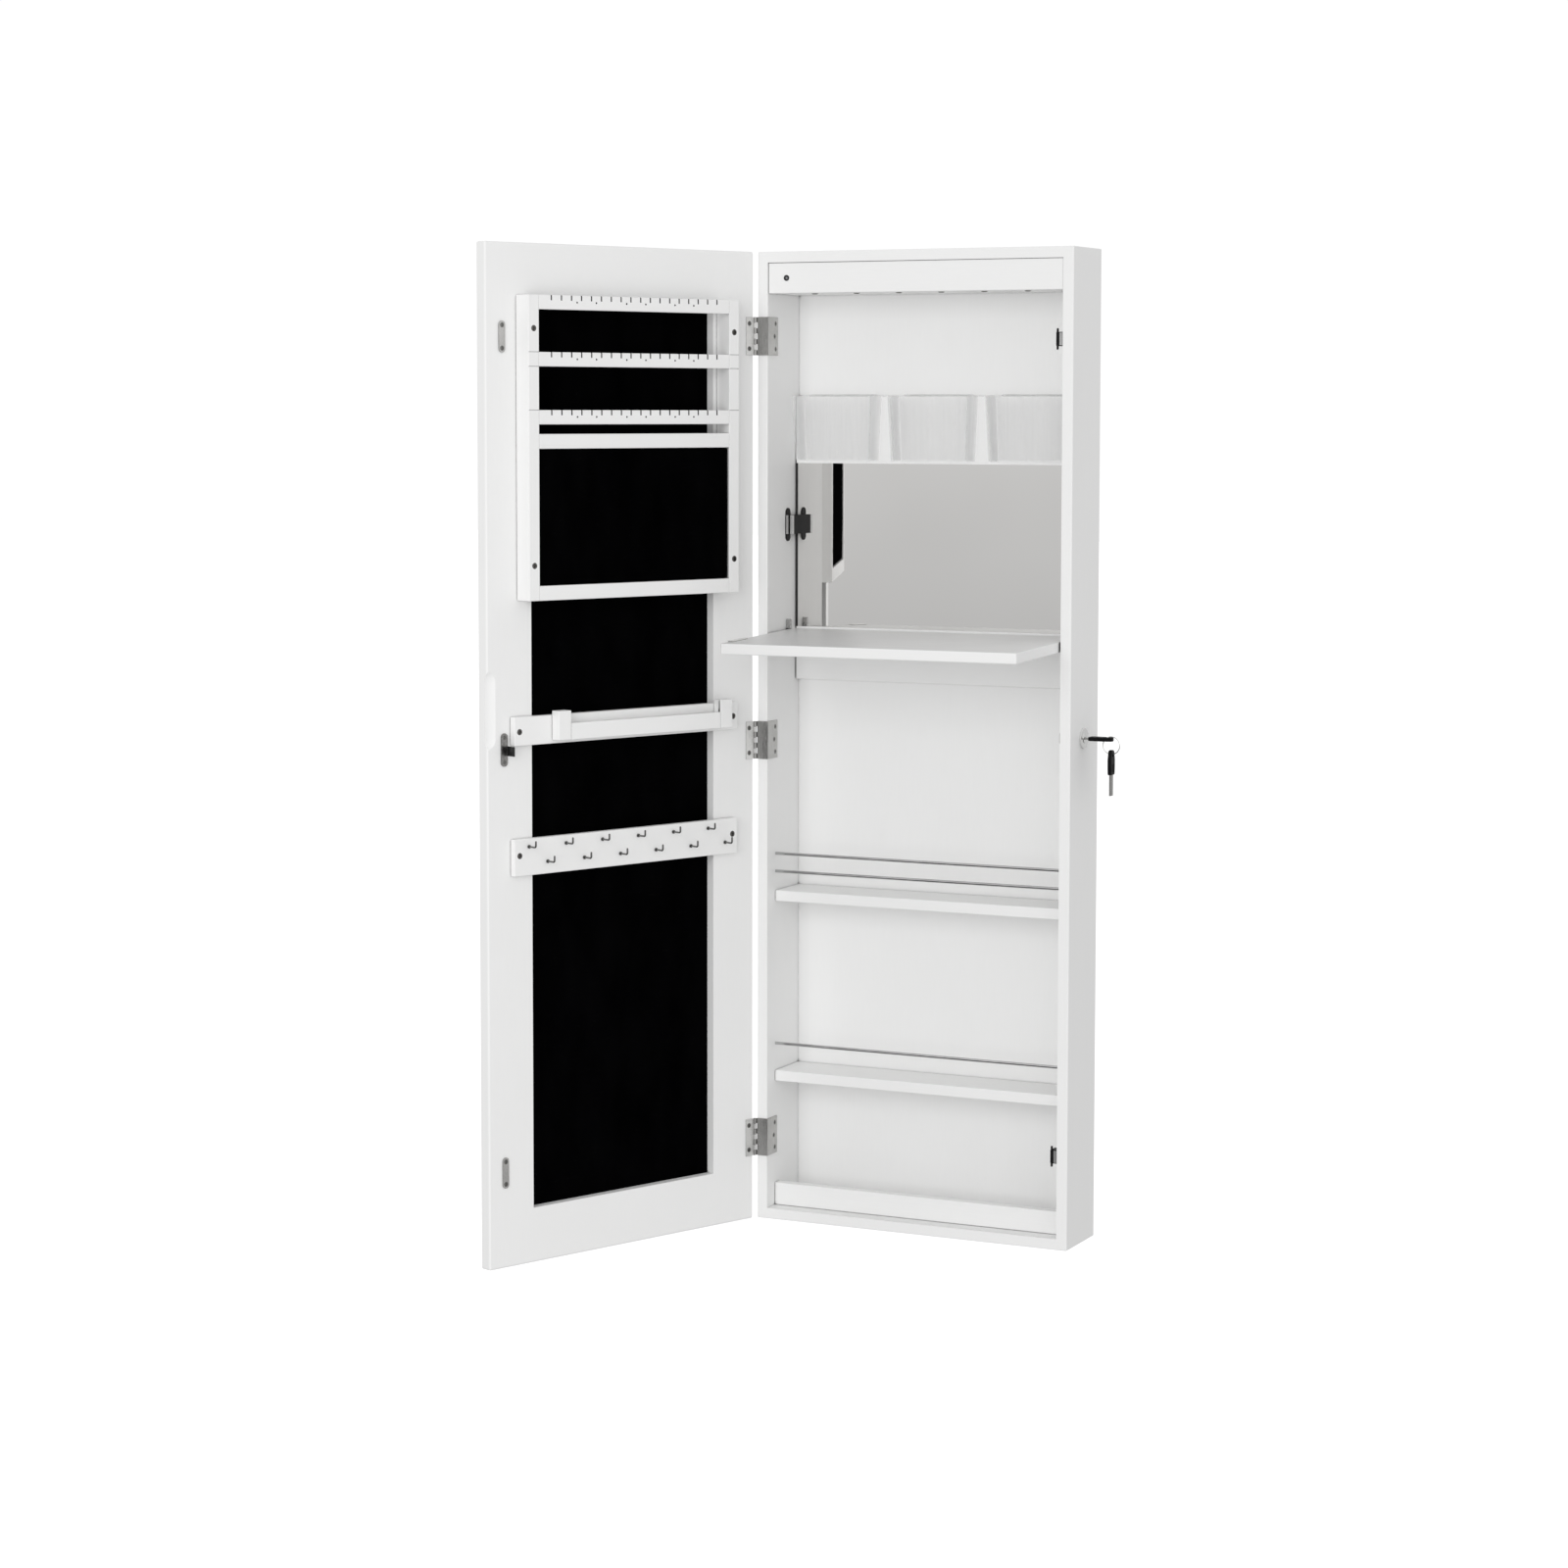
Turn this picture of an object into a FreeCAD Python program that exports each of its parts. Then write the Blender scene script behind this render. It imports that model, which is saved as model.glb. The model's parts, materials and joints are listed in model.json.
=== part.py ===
# Wall-hung jewelry armoire: a shallow case with a mirrored door on its left side, a fold-down tray,
# clear boxes, shelves with necklace rods, a row of lights under the top, and a cam lock on the right.
#
# Frame: millimetres, +X to the right seen from the front, -Y towards the user, +Z up.
# The origin is the middle of the case's back face, where it meets the wall.
# Heights in the table are measured from the underside of the case. Places across the front
# are measured from the outside of its left side, and places in depth from its front face,
# positive towards the wall. The door is drawn shut and then turned open about its hinge pins,
# and the tray is drawn level and then turned down about its own pins.
import FreeCAD, Part
import math
import os
import Sketcher
from FreeCAD import Placement, Rotation, Vector

DIMENSIONS = {
    # case
    "case_width": 372, "case_depth": 83, "case_height": 1080, "board": 12,
    "back_thick": 2.5, "back_rebate": 6, "case_round": 1.2, "edge_round": 0.8,
    # shelves, lip and rods
    "shelf_setback": 20, "upper_shelf_top": 369.5, "lower_shelf_top": 165.5,
    "lip_height": 25.5, "rod_radius": 1.7, "rod_depth": 22, "rod_socket": 5,
    "rod_top": 411, "rod_middle": 391, "rod_low": 196,
    # board behind the tray, with its mirror and the groove the clear boxes hang in
    "mirror_board_bottom": 604, "mirror_board_top": 921.7, "mirror_board_thick": 9.5,
    "seam": 1.2, "glass_bottom": 663.5, "glass_top": 847, "glass_thick": 3,
    "groove_width": 2.6, "groove_depth": 8.5, "groove_setback": 3.4,
    # lights
    "housing_bottom": 1034.3, "fascia_thick": 3, "fascia_setback": 1, "soffit_thick": 3,
    "lamp_count": 6, "lamp_pitch": 50.4, "lamp_radius": 3.9, "lamp_depth": 20,
    "sensor_radius": 3.2, "sensor_across": 34.4, "sensor_height": 1051,
    "rail_thick": 12, "cell_radius": 5.25, "cell_length": 44.5, "cell_pitch": 10.9,
    "battery_across": 236, "battery_depth": 28, "battery_wall": 1.6,
    # wall hangers
    "hanger_spacing": 260, "hanger_width": 18, "hanger_height": 31, "hanger_thick": 1.5,
    "key_entry_radius": 4.5, "key_slot_radius": 2.3, "key_slot_rise": 9,
    # door
    "door_thick": 15, "door_gap": 2.4, "door_open": 112, "stile": 59, "panel_recess": 10,
    "velvet_thick": 2, "velvet_margin": 53, "mirror_margin": 36, "mirror_setback": 0.3,
    "door_round": 2, "pull_reach": 13.1, "pull_end": 11, "pull_bottom": 552, "pull_top": 633.5,
    # hinges
    "hinge_length": 42, "hinge_end": 92.5, "pin_across": -2.5, "pin_front": -2.5,
    "pin_radius": 1.1, "knuckle_radius": 2.1, "knuckle_count": 7, "leaf_thick": 1.1,
    "door_leaf": 11, "case_flange": 24, "hinge_clearance": 0.3, "pin_clearance": 0.06,
    # organiser on the door
    "organiser_left": 40, "organiser_board": 14, "organiser_proud": 21.5,
    "organiser_bottom": 707, "organiser_top": 1025.5, "strip_height": 15, "strip_thick": 5,
    "strip_middle_top": 966.3, "strip_low_top": 906, "slot_first": 71.4,
    "slot_count": 18, "slot_pitch": 13.49, "slot_width": 1.6,
    "slot_depth": 5.5, "stud_hole_radius": 1, "stud_hole_drop": 7.2,
    "pad_bottom": 722.5, "pad_top": 865.6, "pad_rail_top": 881, "pad_rail_thick": 12,
    "pad_thick": 8, "pad_setback": 1, "pad_round": 2.5,
    # bracelet holder and hook board
    "holder_left": 30, "holder_bottom": 554.8, "holder_height": 30.3, "holder_thick": 8,
    "cradle_near": 48.2, "cradle_far": 275.2, "cradle_arm": 17, "cradle_bottom": 558.6,
    "cradle_top": 589.8, "cradle_deep": 11.9, "cradle_foot": 3, "bar_top": 576.3, "bar_thick": 6,
    "tongue": 2.6, "tongue_thick": 2.6, "hook_board_bottom": 417, "hook_board_height": 39,
    "hook_board_thick": 7, "hook_pitch": 50, "hook_first_low": 48, "hook_first_high": 73,
    "hook_low": 430, "hook_high": 447.5, "hook_grip": 5, "hook_wire": 1, "hook_reach": 13, "hook_rise": 7,
    "hook_bend": 2.2,
    # catches and strikes
    "catch_width": 8, "catch_deep": 14, "catch_height": 15, "catch_low": 102, "catch_high": 982,
    "catch_peg_height": 23, "catch_peg_radius": 1.2, "catch_setback": 1, "pole_proud": 0.4,
    "pole_wide": 3.4, "magnet_deep": 8, "strike_width": 8, "strike_height": 33,
    "strike_thick": 1.2, "strike_left": 346.8, "lock_strike_height": 551, "keep_reach": 13.2,
    # tray
    "tray_clear": 2, "tray_thick": 12, "tray_reach": 158.5, "tray_tail": 26,
    "tray_pivot_depth": 37.5, "tray_pivot_height": 655, "tray_droop": 2.1,
    "tray_pin_radius": 2, "tray_pin_grip": 10, "tray_pin_socket": 8,
    "stop_wide": 4.6, "stop_height": 11, "stop_length": 5, "stop_behind": 12, "stop_rise": 12.2,
    "tray_catch_height": 37, "tray_catch_body": 21, "tray_catch_left": 1.2, "tray_catch_ear": 11,
    "tray_pole": 2.6, "tray_pole_gap": 2.4, "tray_pole_deep": 4.5,
    "tray_catch_behind": 1.8, "tray_strike_near": 105,
    # lock and keys
    "lock_depth": 38.2, "lock_height": 553.8, "rosette_radius": 11, "rosette_proud": 2,
    "barrel_radius": 8, "barrel_length": 22, "plug_radius": 5, "plug_tail_radius": 3,
    "cam_thick": 2, "cam_across": 347, "nut_across_flats": 22, "nut_thick": 4,
    "key_slot_wide": 7.4, "key_slot_high": 2.4, "key_wide": 7, "key_high": 2, "key_tip": 356,
    "bow_start": 379.5, "bow_end": 406.4, "bow_wide": 13, "bow_thick": 4.4,
    "ring_radius": 9.5, "ring_wire": 0.6, "ring_across": 404.5, "ring_height": 547.4,
    "spare_blade_tip": 493, "spare_bow_bottom": 515.6,
    # clear boxes
    "box_width": 96, "box_deep": 31.6, "box_bottom": 850.5, "box_top": 921.9, "box_pitch": 116,
    "box_wall": 1.6, "box_taper": 3.2, "box_corner": 4, "box_lip": 80,
}

doc = FreeCAD.newDocument("jewelry_armoire")
sheet = doc.addObject("Spreadsheet::Sheet", "dims")
for row, (alias, value) in enumerate(DIMENSIONS.items(), start=1):
    sheet.set(f"A{row}", alias.replace("_", " "))
    sheet.set(f"B{row}", str(value))
    sheet.setAlias(f"B{row}", alias)
doc.recompute()

nodes = []


def dim(name):
    return float(sheet.get(name))


def sized(text):
    """Turns a formula in the table's words into an expression, and @name into dims.name."""
    return str(text).replace("@", "dims.")


# Formulas for the places that many pieces share.
LEFT = "(-@case_width / 2)"
FRONT = "(-@case_depth)"
BOTTOM = "(-@case_height / 2)"
INNER = "(@case_width - 2 * @board)"
BACK_FACE = "(@case_depth - @back_thick)"
BOARD_FACE = f"({BACK_FACE} - @mirror_board_thick)"
SHELF_DEEP = f"({BACK_FACE} - @shelf_setback)"


def place(obj, across, depth, height):
    """Puts a piece's corner or centre at a place across, into and up the case."""
    obj.setExpression("Placement.Base.x", sized(f"{LEFT} + ({across})"))
    obj.setExpression("Placement.Base.y", sized(f"{FRONT} + ({depth})"))
    obj.setExpression("Placement.Base.z", sized(f"{BOTTOM} + ({height})"))
    return obj


def turn(obj, axis, angle):
    obj.Placement = Placement(obj.Placement.Base, Rotation(Vector(*axis), angle))
    return obj


def block(name, size, at):
    """A plain rectangular solid."""
    obj = doc.addObject("Part::Box", name)
    for prop, text in zip(("Length", "Width", "Height"), size):
        obj.setExpression(prop, sized(text))
    return place(obj, *at)


AXES = {"x": ((0, 1, 0), 90), "y": ((1, 0, 0), -90), "z": ((0, 0, 1), 0)}


def round_bar(name, radius, length, at, along="z"):
    """A cylinder that starts at a place and runs towards +X, +Y or +Z."""
    obj = doc.addObject("Part::Cylinder", name)
    obj.setExpression("Radius", sized(radius))
    obj.setExpression("Height", sized(length))
    turn(obj, *AXES[along])
    return place(obj, *at)


def cut(name, base, tools):
    tool = tools[0]
    if len(tools) > 1:
        tool = doc.addObject("Part::Compound", f"{name}_tools")
        tool.Links = tools
    obj = doc.addObject("Part::Cut", name)
    obj.Base = base
    obj.Tool = tool
    return obj


def fuse(name, parts):
    obj = doc.addObject("Part::MultiFuse", name)
    obj.Shapes = parts
    obj.Refine = True
    return obj


def common(name, first, second):
    obj = doc.addObject("Part::Common", name)
    obj.Base = first
    obj.Tool = second
    return obj


def group(name, parts):
    obj = doc.addObject("Part::Compound", name)
    obj.Links = parts
    return obj


def new_body(name):
    return doc.addObject("PartDesign::Body", name)


def plane(body, role):
    return next(f for f in body.Origin.OriginFeatures if f.Role == role)


def sketch_on(body, role, name, offset=0):
    sketch = body.newObject("Sketcher::SketchObject", name)
    sketch.AttachmentSupport = [(plane(body, role), "")]
    sketch.MapMode = "FlatFace"
    if offset:
        sketch.setExpression("AttachmentOffset.Base.z", sized(offset))
    return sketch


def rectangle(sketch, low_x, low_y, wide, high):
    """Four lines in a sketch, held square and sized by formulas."""
    first = sketch.GeometryCount
    corners = [Vector(0, 0, 0), Vector(10, 0, 0), Vector(10, 10, 0), Vector(0, 10, 0)]
    for i in range(4):
        sketch.addGeometry(Part.LineSegment(corners[i], corners[(i + 1) % 4]), False)
    for i in range(4):
        sketch.addConstraint(Sketcher.Constraint("Coincident", first + i, 2, first + (i + 1) % 4, 1))
    for i, kind in enumerate(("Horizontal", "Vertical", "Horizontal", "Vertical")):
        sketch.addConstraint(Sketcher.Constraint(kind, first + i))
    for kind, value, text in (("DistanceX", 0.0, wide), ("DistanceY", 0.0, high)):
        edge = first if kind == "DistanceX" else first + 1
        index = sketch.addConstraint(Sketcher.Constraint(kind, edge, 1, edge, 2, 10.0))
        sketch.setExpression(f"Constraints[{index}]", sized(text))
    for kind, text in (("DistanceX", low_x), ("DistanceY", low_y)):
        index = sketch.addConstraint(Sketcher.Constraint(kind, -1, 1, first, 1, 5.0))
        sketch.setExpression(f"Constraints[{index}]", sized(text))


def outline(sketch, points, rounds=None):
    """A closed outline of straight runs, with an arc in each corner that has a radius."""
    rounds = rounds or {}
    count = len(points)
    ends = []
    for i, point in enumerate(points):
        here = Vector(*point, 0)
        before = (Vector(*points[i - 1], 0) - here).normalize()
        after = (Vector(*points[(i + 1) % count], 0) - here).normalize()
        radius = rounds.get(i, 0)
        if not radius:
            ends.append((here, here))
            continue
        half = before.getAngle(after) / 2
        reach = radius / math.tan(half)
        start = here + before * reach
        finish = here + after * reach
        middle_way = (before + after).normalize()
        centre = here + middle_way * (radius / math.sin(half))
        middle = centre - middle_way * radius
        sketch.addGeometry(Part.Arc(start, middle, finish), False)
        ends.append((start, finish))
    for i in range(count):
        sketch.addGeometry(Part.LineSegment(ends[i][1], ends[(i + 1) % count][0]), False)


def pad(body, sketch, length, name, **settings):
    feature = body.newObject("PartDesign::Pad", name)
    feature.Profile = sketch
    feature.setExpression("Length", sized(length))
    for prop, value in settings.items():
        setattr(feature, prop, value)
    return feature


def pocket(body, sketch, length, name, **settings):
    """Cuts a sketch out of a body, and checks that the cut did remove something."""
    doc.recompute()
    before = body.Shape.Volume
    feature = body.newObject("PartDesign::Pocket", name)
    feature.Profile = sketch
    feature.setExpression("Length", sized(length))
    for prop, value in settings.items():
        setattr(feature, prop, value)
    doc.recompute()
    if not body.Shape.Volume < before - 1e-3:
        raise RuntimeError(f"{name} removes nothing")
    return feature


def round_edges(body, name, radius, wanted=None):
    """Rounds every edge of a body's last feature, or those that a test picks out."""
    doc.recompute()
    base = body.Tip
    picked = [f"Edge{i}" for i, edge in enumerate(base.Shape.Edges, start=1)
              if wanted is None or wanted(edge)]
    feature = body.newObject("PartDesign::Fillet", name)
    feature.Base = (base, picked)
    feature.setExpression("Radius", sized(radius))
    return feature


def board(name, size, at, radius="@edge_round"):
    """A board with eased edges: a padded rectangle with every edge rounded."""
    body = new_body(name)
    face = sketch_on(body, "XY_Plane", f"{name}_face")
    rectangle(face, 0, 0, size[0], size[1])
    pad(body, face, size[2], f"{name}_thickness")
    round_edges(body, f"{name}_eased", radius)
    return place(body, *at)


def copies(name, source, places, axis=(0, 0, 1), angle=0):
    """Links to one drawn piece, turned and put at several places."""
    made = []
    for i, at in enumerate(places, start=1):
        link = doc.addObject("App::Link", f"{name}_{i}")
        link.LinkedObject = source
        link.LinkTransform = True
        turn(link, axis, angle)
        made.append(place(link, *at))
    return made


def node(name, parts, moved_by=None):
    """Names a finished piece. Pieces of the door and the tray are turned to where they rest."""
    obj = group(f"{name}_node", parts)
    obj.Label = name
    if moved_by == "door":
        pivot = (f"({LEFT} + @pin_across)", f"({FRONT} + @pin_front)")
        turned(obj, (0, 0, 1), "-@door_open", pivot, "xy")
    elif moved_by == "tray":
        pivot = (f"({FRONT} + @tray_pivot_depth)", f"({BOTTOM} + @tray_pivot_height)")
        turned(obj, (1, 0, 0), "@tray_droop", pivot, "yz")
    nodes.append(obj)
    return obj


def turned(obj, axis, angle, pivot, names):
    """Turns a piece about a pivot in the plane of two axes."""
    a, b = pivot
    obj.Placement = Placement(Vector(0, 0, 0), Rotation(Vector(*axis), 1))
    obj.setExpression("Placement.Rotation.Angle", sized(angle))
    obj.setExpression(f"Placement.Base.{names[0]}",
                      sized(f"{a} - ({a} * cos({angle}) - {b} * sin({angle}))"))
    obj.setExpression(f"Placement.Base.{names[1]}",
                      sized(f"{b} - ({a} * sin({angle}) + {b} * cos({angle}))"))


# ---------------------------------------------------------------- fasteners

def draw_screw(name, head_radius, head_deep, shank_radius, length):
    """A countersunk wood screw along -Z, its head flush with z = 0, and the hole it fills."""
    body = new_body(name)
    profile = sketch_on(body, "XZ_Plane", f"{name}_profile")
    points = [(0, 0), (head_radius, 0), (shank_radius, -head_deep),
              (shank_radius, 1.5 * shank_radius - length), (0, -length)]
    outline(profile, points)
    shape = body.newObject("PartDesign::Revolution", f"{name}_turned")
    shape.Profile = profile
    shape.ReferenceAxis = (profile, ["V_Axis"])
    shape.Angle = 360
    cross = sketch_on(body, "XY_Plane", f"{name}_cross")
    arm = 0.62 * head_radius
    half = 0.14 * head_radius
    outline(cross, [(-arm, -half), (-half, -half), (-half, -arm), (half, -arm), (half, -half),
                    (arm, -half), (arm, half), (half, half), (half, arm), (-half, arm),
                    (-half, half), (-arm, half)])
    recess_deep = 0.45 * head_deep
    pocket(body, cross, recess_deep, f"{name}_recess")
    filling = doc.addObject("Part::Cylinder", f"{name}_filling")
    filling.Radius = 0.66 * head_radius
    filling.Height = recess_deep
    filling.Placement.Base = Vector(0, 0, -recess_deep)
    return body, fuse(f"{name}_hole", [body, filling])


def screws(name, drawn, places, axis=(0, 0, 1), angle=0):
    """Copies of a screw at several places, and of the hole that each one fills."""
    body, hole = drawn
    return (copies(name, body, places, axis, angle),
            copies(f"{name}_hole", hole, places, axis, angle))


PLATE_SCREW_LENGTH = 9.5
plate_screw = draw_screw("plate_screw", 2.7, 1.1, 1.2, PLATE_SCREW_LENGTH)
deep_screw = draw_screw("organiser_screw", 3.3, 2.2, 1.6, 30)
board_screw = draw_screw("board_screw", 3.3, 2.2, 1.6, 15)
HINGES = ("@hinge_end", "@case_height / 2", "@case_height - @hinge_end")
CATCHES = ("@catch_low", "@catch_high")
PLATE_SCREW_SPREAD = 14
STRIKE_SCREW_SPREAD = 12

flange_face = "@board + @leaf_thick"
flange_spots = []
for height in HINGES:
    for rise, depth in ((PLATE_SCREW_SPREAD, 17.7), (0, 15.2), (-PLATE_SCREW_SPREAD, 17.7)):
        flange_spots.append((flange_face, depth, f"{height} + {rise}"))
flange_screws, flange_holes = screws("flange_screw", plate_screw, flange_spots, (0, 1, 0), 90)

hanger_middle = "(@housing_bottom + (@case_height - @board - @housing_bottom) / 2)"
HANGER_SCREW_SPREAD = 12.5
hanger_spots = [(f"@case_width / 2 + {side} * @hanger_spacing / 2", f"{BACK_FACE} + @hanger_thick",
                 f"{hanger_middle} + {rise}")
                for side in (-1, 1) for rise in (-HANGER_SCREW_SPREAD, HANGER_SCREW_SPREAD)]
hanger_screws, hanger_holes = screws("hanger_screw", plate_screw, hanger_spots, (1, 0, 0), -90)
node("case_screws", flange_screws + hanger_screws)

# ---------------------------------------------------------------- case

shell = new_body("case_shell")
shell_face = sketch_on(shell, "XZ_Plane", "case_outline")
rectangle(shell_face, 0, 0, "@case_width", "@case_height")
pad(shell, shell_face, "@case_depth", "case_block", Reversed=True)
round_edges(shell, "case_eased", "@case_round")
shell_inside = sketch_on(shell, "XZ_Plane", "case_inside")
rectangle(shell_inside, "@board", "@board", INNER, "@case_height - 2 * @board")
pocket(shell, shell_inside, "@case_depth", "case_hollow", Reversed=False)
shell_rebate = sketch_on(shell, "XZ_Plane", "case_rebate", f"-{BACK_FACE}")
rectangle(shell_rebate, "@back_rebate", "@back_rebate", "@case_width - 2 * @back_rebate",
          "@case_height - 2 * @back_rebate")
pocket(shell, shell_rebate, "@back_thick", "case_back_rebate", Reversed=False)
place(shell, 0, 0, 0)


def panel(name, size, at, holes):
    """One board of the case: its share of the shell, less whatever passes through it."""
    piece = common(f"{name}_blank", shell, block(f"{name}_share", size, at))
    if holes:
        piece = cut(f"{name}_drilled", piece, holes)
    return node(name, [piece])


# The lock's hole, the rods' sockets and the tray's pin holes, all across the case.
lock_at = ("@lock_depth", "@lock_height")
lock_hole = round_bar("lock_hole", "@barrel_radius + 0.05", "2 * @board",
                      ("@case_width - 1.5 * @board", *lock_at), "x")
rod_heights = ("@rod_top", "@rod_middle", "@rod_low")
rods = [round_bar(f"rod_{i}", "@rod_radius", f"{INNER} + 2 * @rod_socket",
                  ("@board - @rod_socket", "@rod_depth", height), "x")
        for i, height in enumerate(rod_heights, start=1)]
pivot_at = ("@tray_pivot_depth", "@tray_pivot_height")
pin_socket = round_bar("tray_pin_socket", "@tray_pin_radius + @pin_clearance",
                       f"{INNER} + 2 * @tray_pin_socket",
                       ("@board - @tray_pin_socket", *pivot_at), "x")
panel("side_panel_left", ("@board", "@case_depth", "@case_height"), (0, 0, 0),
      rods + [pin_socket] + flange_holes)
panel("side_panel_right", ("@board", "@case_depth", "@case_height"), ("@case_width - @board", 0, 0),
      rods + [pin_socket, lock_hole])
panel("top_panel", (INNER, "@case_depth", "@board"), ("@board", 0, "@case_height - @board"), [])
panel("bottom_panel", (INNER, "@case_depth", "@board"), ("@board", 0, 0), [])
node("necklace_rods", rods)

# Wall hangers: steel keyhole plates let into the back, over pockets in the hanging rail.
hangers = []
hanger_windows = []
hanger_pockets = []
for i, side in enumerate((-1, 1), start=1):
    middle = f"@case_width / 2 + {side} * @hanger_spacing / 2"
    corner = (f"{middle} - @hanger_width / 2", BACK_FACE, f"{hanger_middle} - @hanger_height / 2")
    size = ("@hanger_width", "@hanger_thick", "@hanger_height")
    entry_at = (middle, f"{BACK_FACE} - 1", f"{hanger_middle} - @key_slot_rise / 2")
    plate = block(f"hanger_plate_{i}", size, corner)
    entry = round_bar(f"hanger_entry_{i}", "@key_entry_radius", "@hanger_thick + 2", entry_at, "y")
    slot = block(f"hanger_slot_{i}", ("2 * @key_slot_radius", "@hanger_thick + 2", "@key_slot_rise"),
                 (f"{middle} - @key_slot_radius", f"{BACK_FACE} - 1", entry_at[2]))
    slot_end = round_bar(f"hanger_slot_end_{i}", "@key_slot_radius", "@hanger_thick + 2",
                         (middle, f"{BACK_FACE} - 1", f"{entry_at[2]} + @key_slot_rise"), "y")
    keyhole = fuse(f"hanger_keyhole_{i}", [entry, slot, slot_end])
    own_holes = hanger_holes[2 * (i - 1):2 * i]
    hangers.append(cut(f"hanger_{i}", plate, [keyhole] + own_holes))
    hanger_windows.append(block(f"hanger_window_{i}", ("@hanger_width", "@back_thick", "@hanger_height"),
                                corner))
    hanger_pockets.append(block(f"hanger_pocket_{i}", ("2 * @key_entry_radius + 1", 9,
                                                       "@key_slot_rise + 2 * @key_entry_radius"),
                                (f"{middle} - @key_entry_radius - 0.5", f"{BACK_FACE} - 9",
                                 f"{entry_at[2]} - @key_entry_radius")))
node("wall_hangers", hangers)
back_sheet = block("back_sheet", ("@case_width - 2 * @back_rebate", "@back_thick",
                                  "@case_height - 2 * @back_rebate"),
                   ("@back_rebate", BACK_FACE, "@back_rebate"))
node("back_panel", [cut("back_cut", back_sheet, hanger_windows)])
rail = block("rail_blank", (INNER, "@rail_thick", "@case_height - @board - @housing_bottom"),
             ("@board", f"{BACK_FACE} - @rail_thick", "@housing_bottom"))
node("hanging_rail", [cut("rail_cut", rail, hanger_pockets + hanger_holes)])

shelves = [board(f"shelf_{i}", (INNER, SHELF_DEEP, "@board"),
                 ("@board", "@shelf_setback", f"{top} - @board"))
           for i, top in enumerate(("@upper_shelf_top", "@lower_shelf_top"), start=1)]
node("shelves", shelves)
lip = board("lip_board", (INNER, "@board", "@lip_height"), ("@board", "@shelf_setback", "@board"))
node("bottom_lip", [lip])

# ---------------------------------------------------------------- mirror board and its mirror

board_wide = f"({INNER} - 2 * @seam)"
board_left = "(@board + @seam)"
mirror_blank = board("mirror_board_blank",
                     (board_wide, "@mirror_board_thick", "@mirror_board_top - @mirror_board_bottom"),
                     (board_left, BOARD_FACE, "@mirror_board_bottom"))
glass = block("makeup_glass", (board_wide, "@glass_thick", "@glass_top - @glass_bottom"),
              (board_left, BOARD_FACE, "@glass_bottom"))
groove = block("box_groove", (board_wide, "@groove_width", "@groove_depth"),
               (board_left, f"{BOARD_FACE} + @groove_setback", "@mirror_board_top - @groove_depth"))
node("mirror_board", [cut("mirror_board_cut", mirror_blank, [glass, groove])])
node("makeup_mirror", [glass])

# ---------------------------------------------------------------- lights, sensor and batteries

housing_wide = f"({INNER} - 2 * 0.3)"
housing_left = "(@board + 0.3)"
housing_high = "(@case_height - @board - 0.3 - @housing_bottom)"
fascia = board("fascia_board", (housing_wide, "@fascia_thick", housing_high),
               (housing_left, "@fascia_setback", "@housing_bottom"), "@edge_round")
sensor_at = ("@sensor_across", "@fascia_setback - 0.6", "@sensor_height")
sensor = new_body("sensor_body")
sensor_profile = sketch_on(sensor, "XY_Plane", "sensor_profile")
SENSOR_LONG = 9
outline(sensor_profile, [(0, 0.5), (1.9, 0.5), (2.2, 0), (dim("sensor_radius"), 0),
                         (dim("sensor_radius"), SENSOR_LONG), (0, SENSOR_LONG)])
sensor_turned = sensor.newObject("PartDesign::Revolution", "sensor_turned")
sensor_turned.Profile = sensor_profile
sensor_turned.ReferenceAxis = (sensor_profile, ["V_Axis"])
place(sensor, *sensor_at)
node("light_sensor", [sensor])
node("led_fascia", [cut("fascia_cut", fascia, [sensor])])

lamp_first = "(@case_width / 2 - (@lamp_count - 1) * @lamp_pitch / 2)"
lamp = new_body("lamp_body")
lamp_profile = sketch_on(lamp, "XZ_Plane", "lamp_profile")
LAMP_DOME = 1.2
LAMP_LONG = 6
lamp_radius = dim("lamp_radius")
outline(lamp_profile, [(0, -LAMP_DOME), (0.7 * lamp_radius, -LAMP_DOME), (lamp_radius, 0),
                       (lamp_radius, LAMP_LONG), (0, LAMP_LONG)], {1: 1.5})
lamp_turned = lamp.newObject("PartDesign::Revolution", "lamp_turned")
lamp_turned.Profile = lamp_profile
lamp_turned.ReferenceAxis = (lamp_profile, ["V_Axis"])
lamp_spots = [(f"{lamp_first} + {i} * @lamp_pitch", "@lamp_depth", "@housing_bottom")
              for i in range(int(dim("lamp_count")))]
lamps = copies("lamp", lamp, lamp_spots)
node("led_lamps", lamps)
led_board = block("led_board_blank", ("(@lamp_count - 1) * @lamp_pitch + 20", 12, 1.6),
                  (f"{lamp_first} - 10", "@lamp_depth - 6", f"@housing_bottom + {LAMP_LONG}"))
node("led_board", [led_board])

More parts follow.
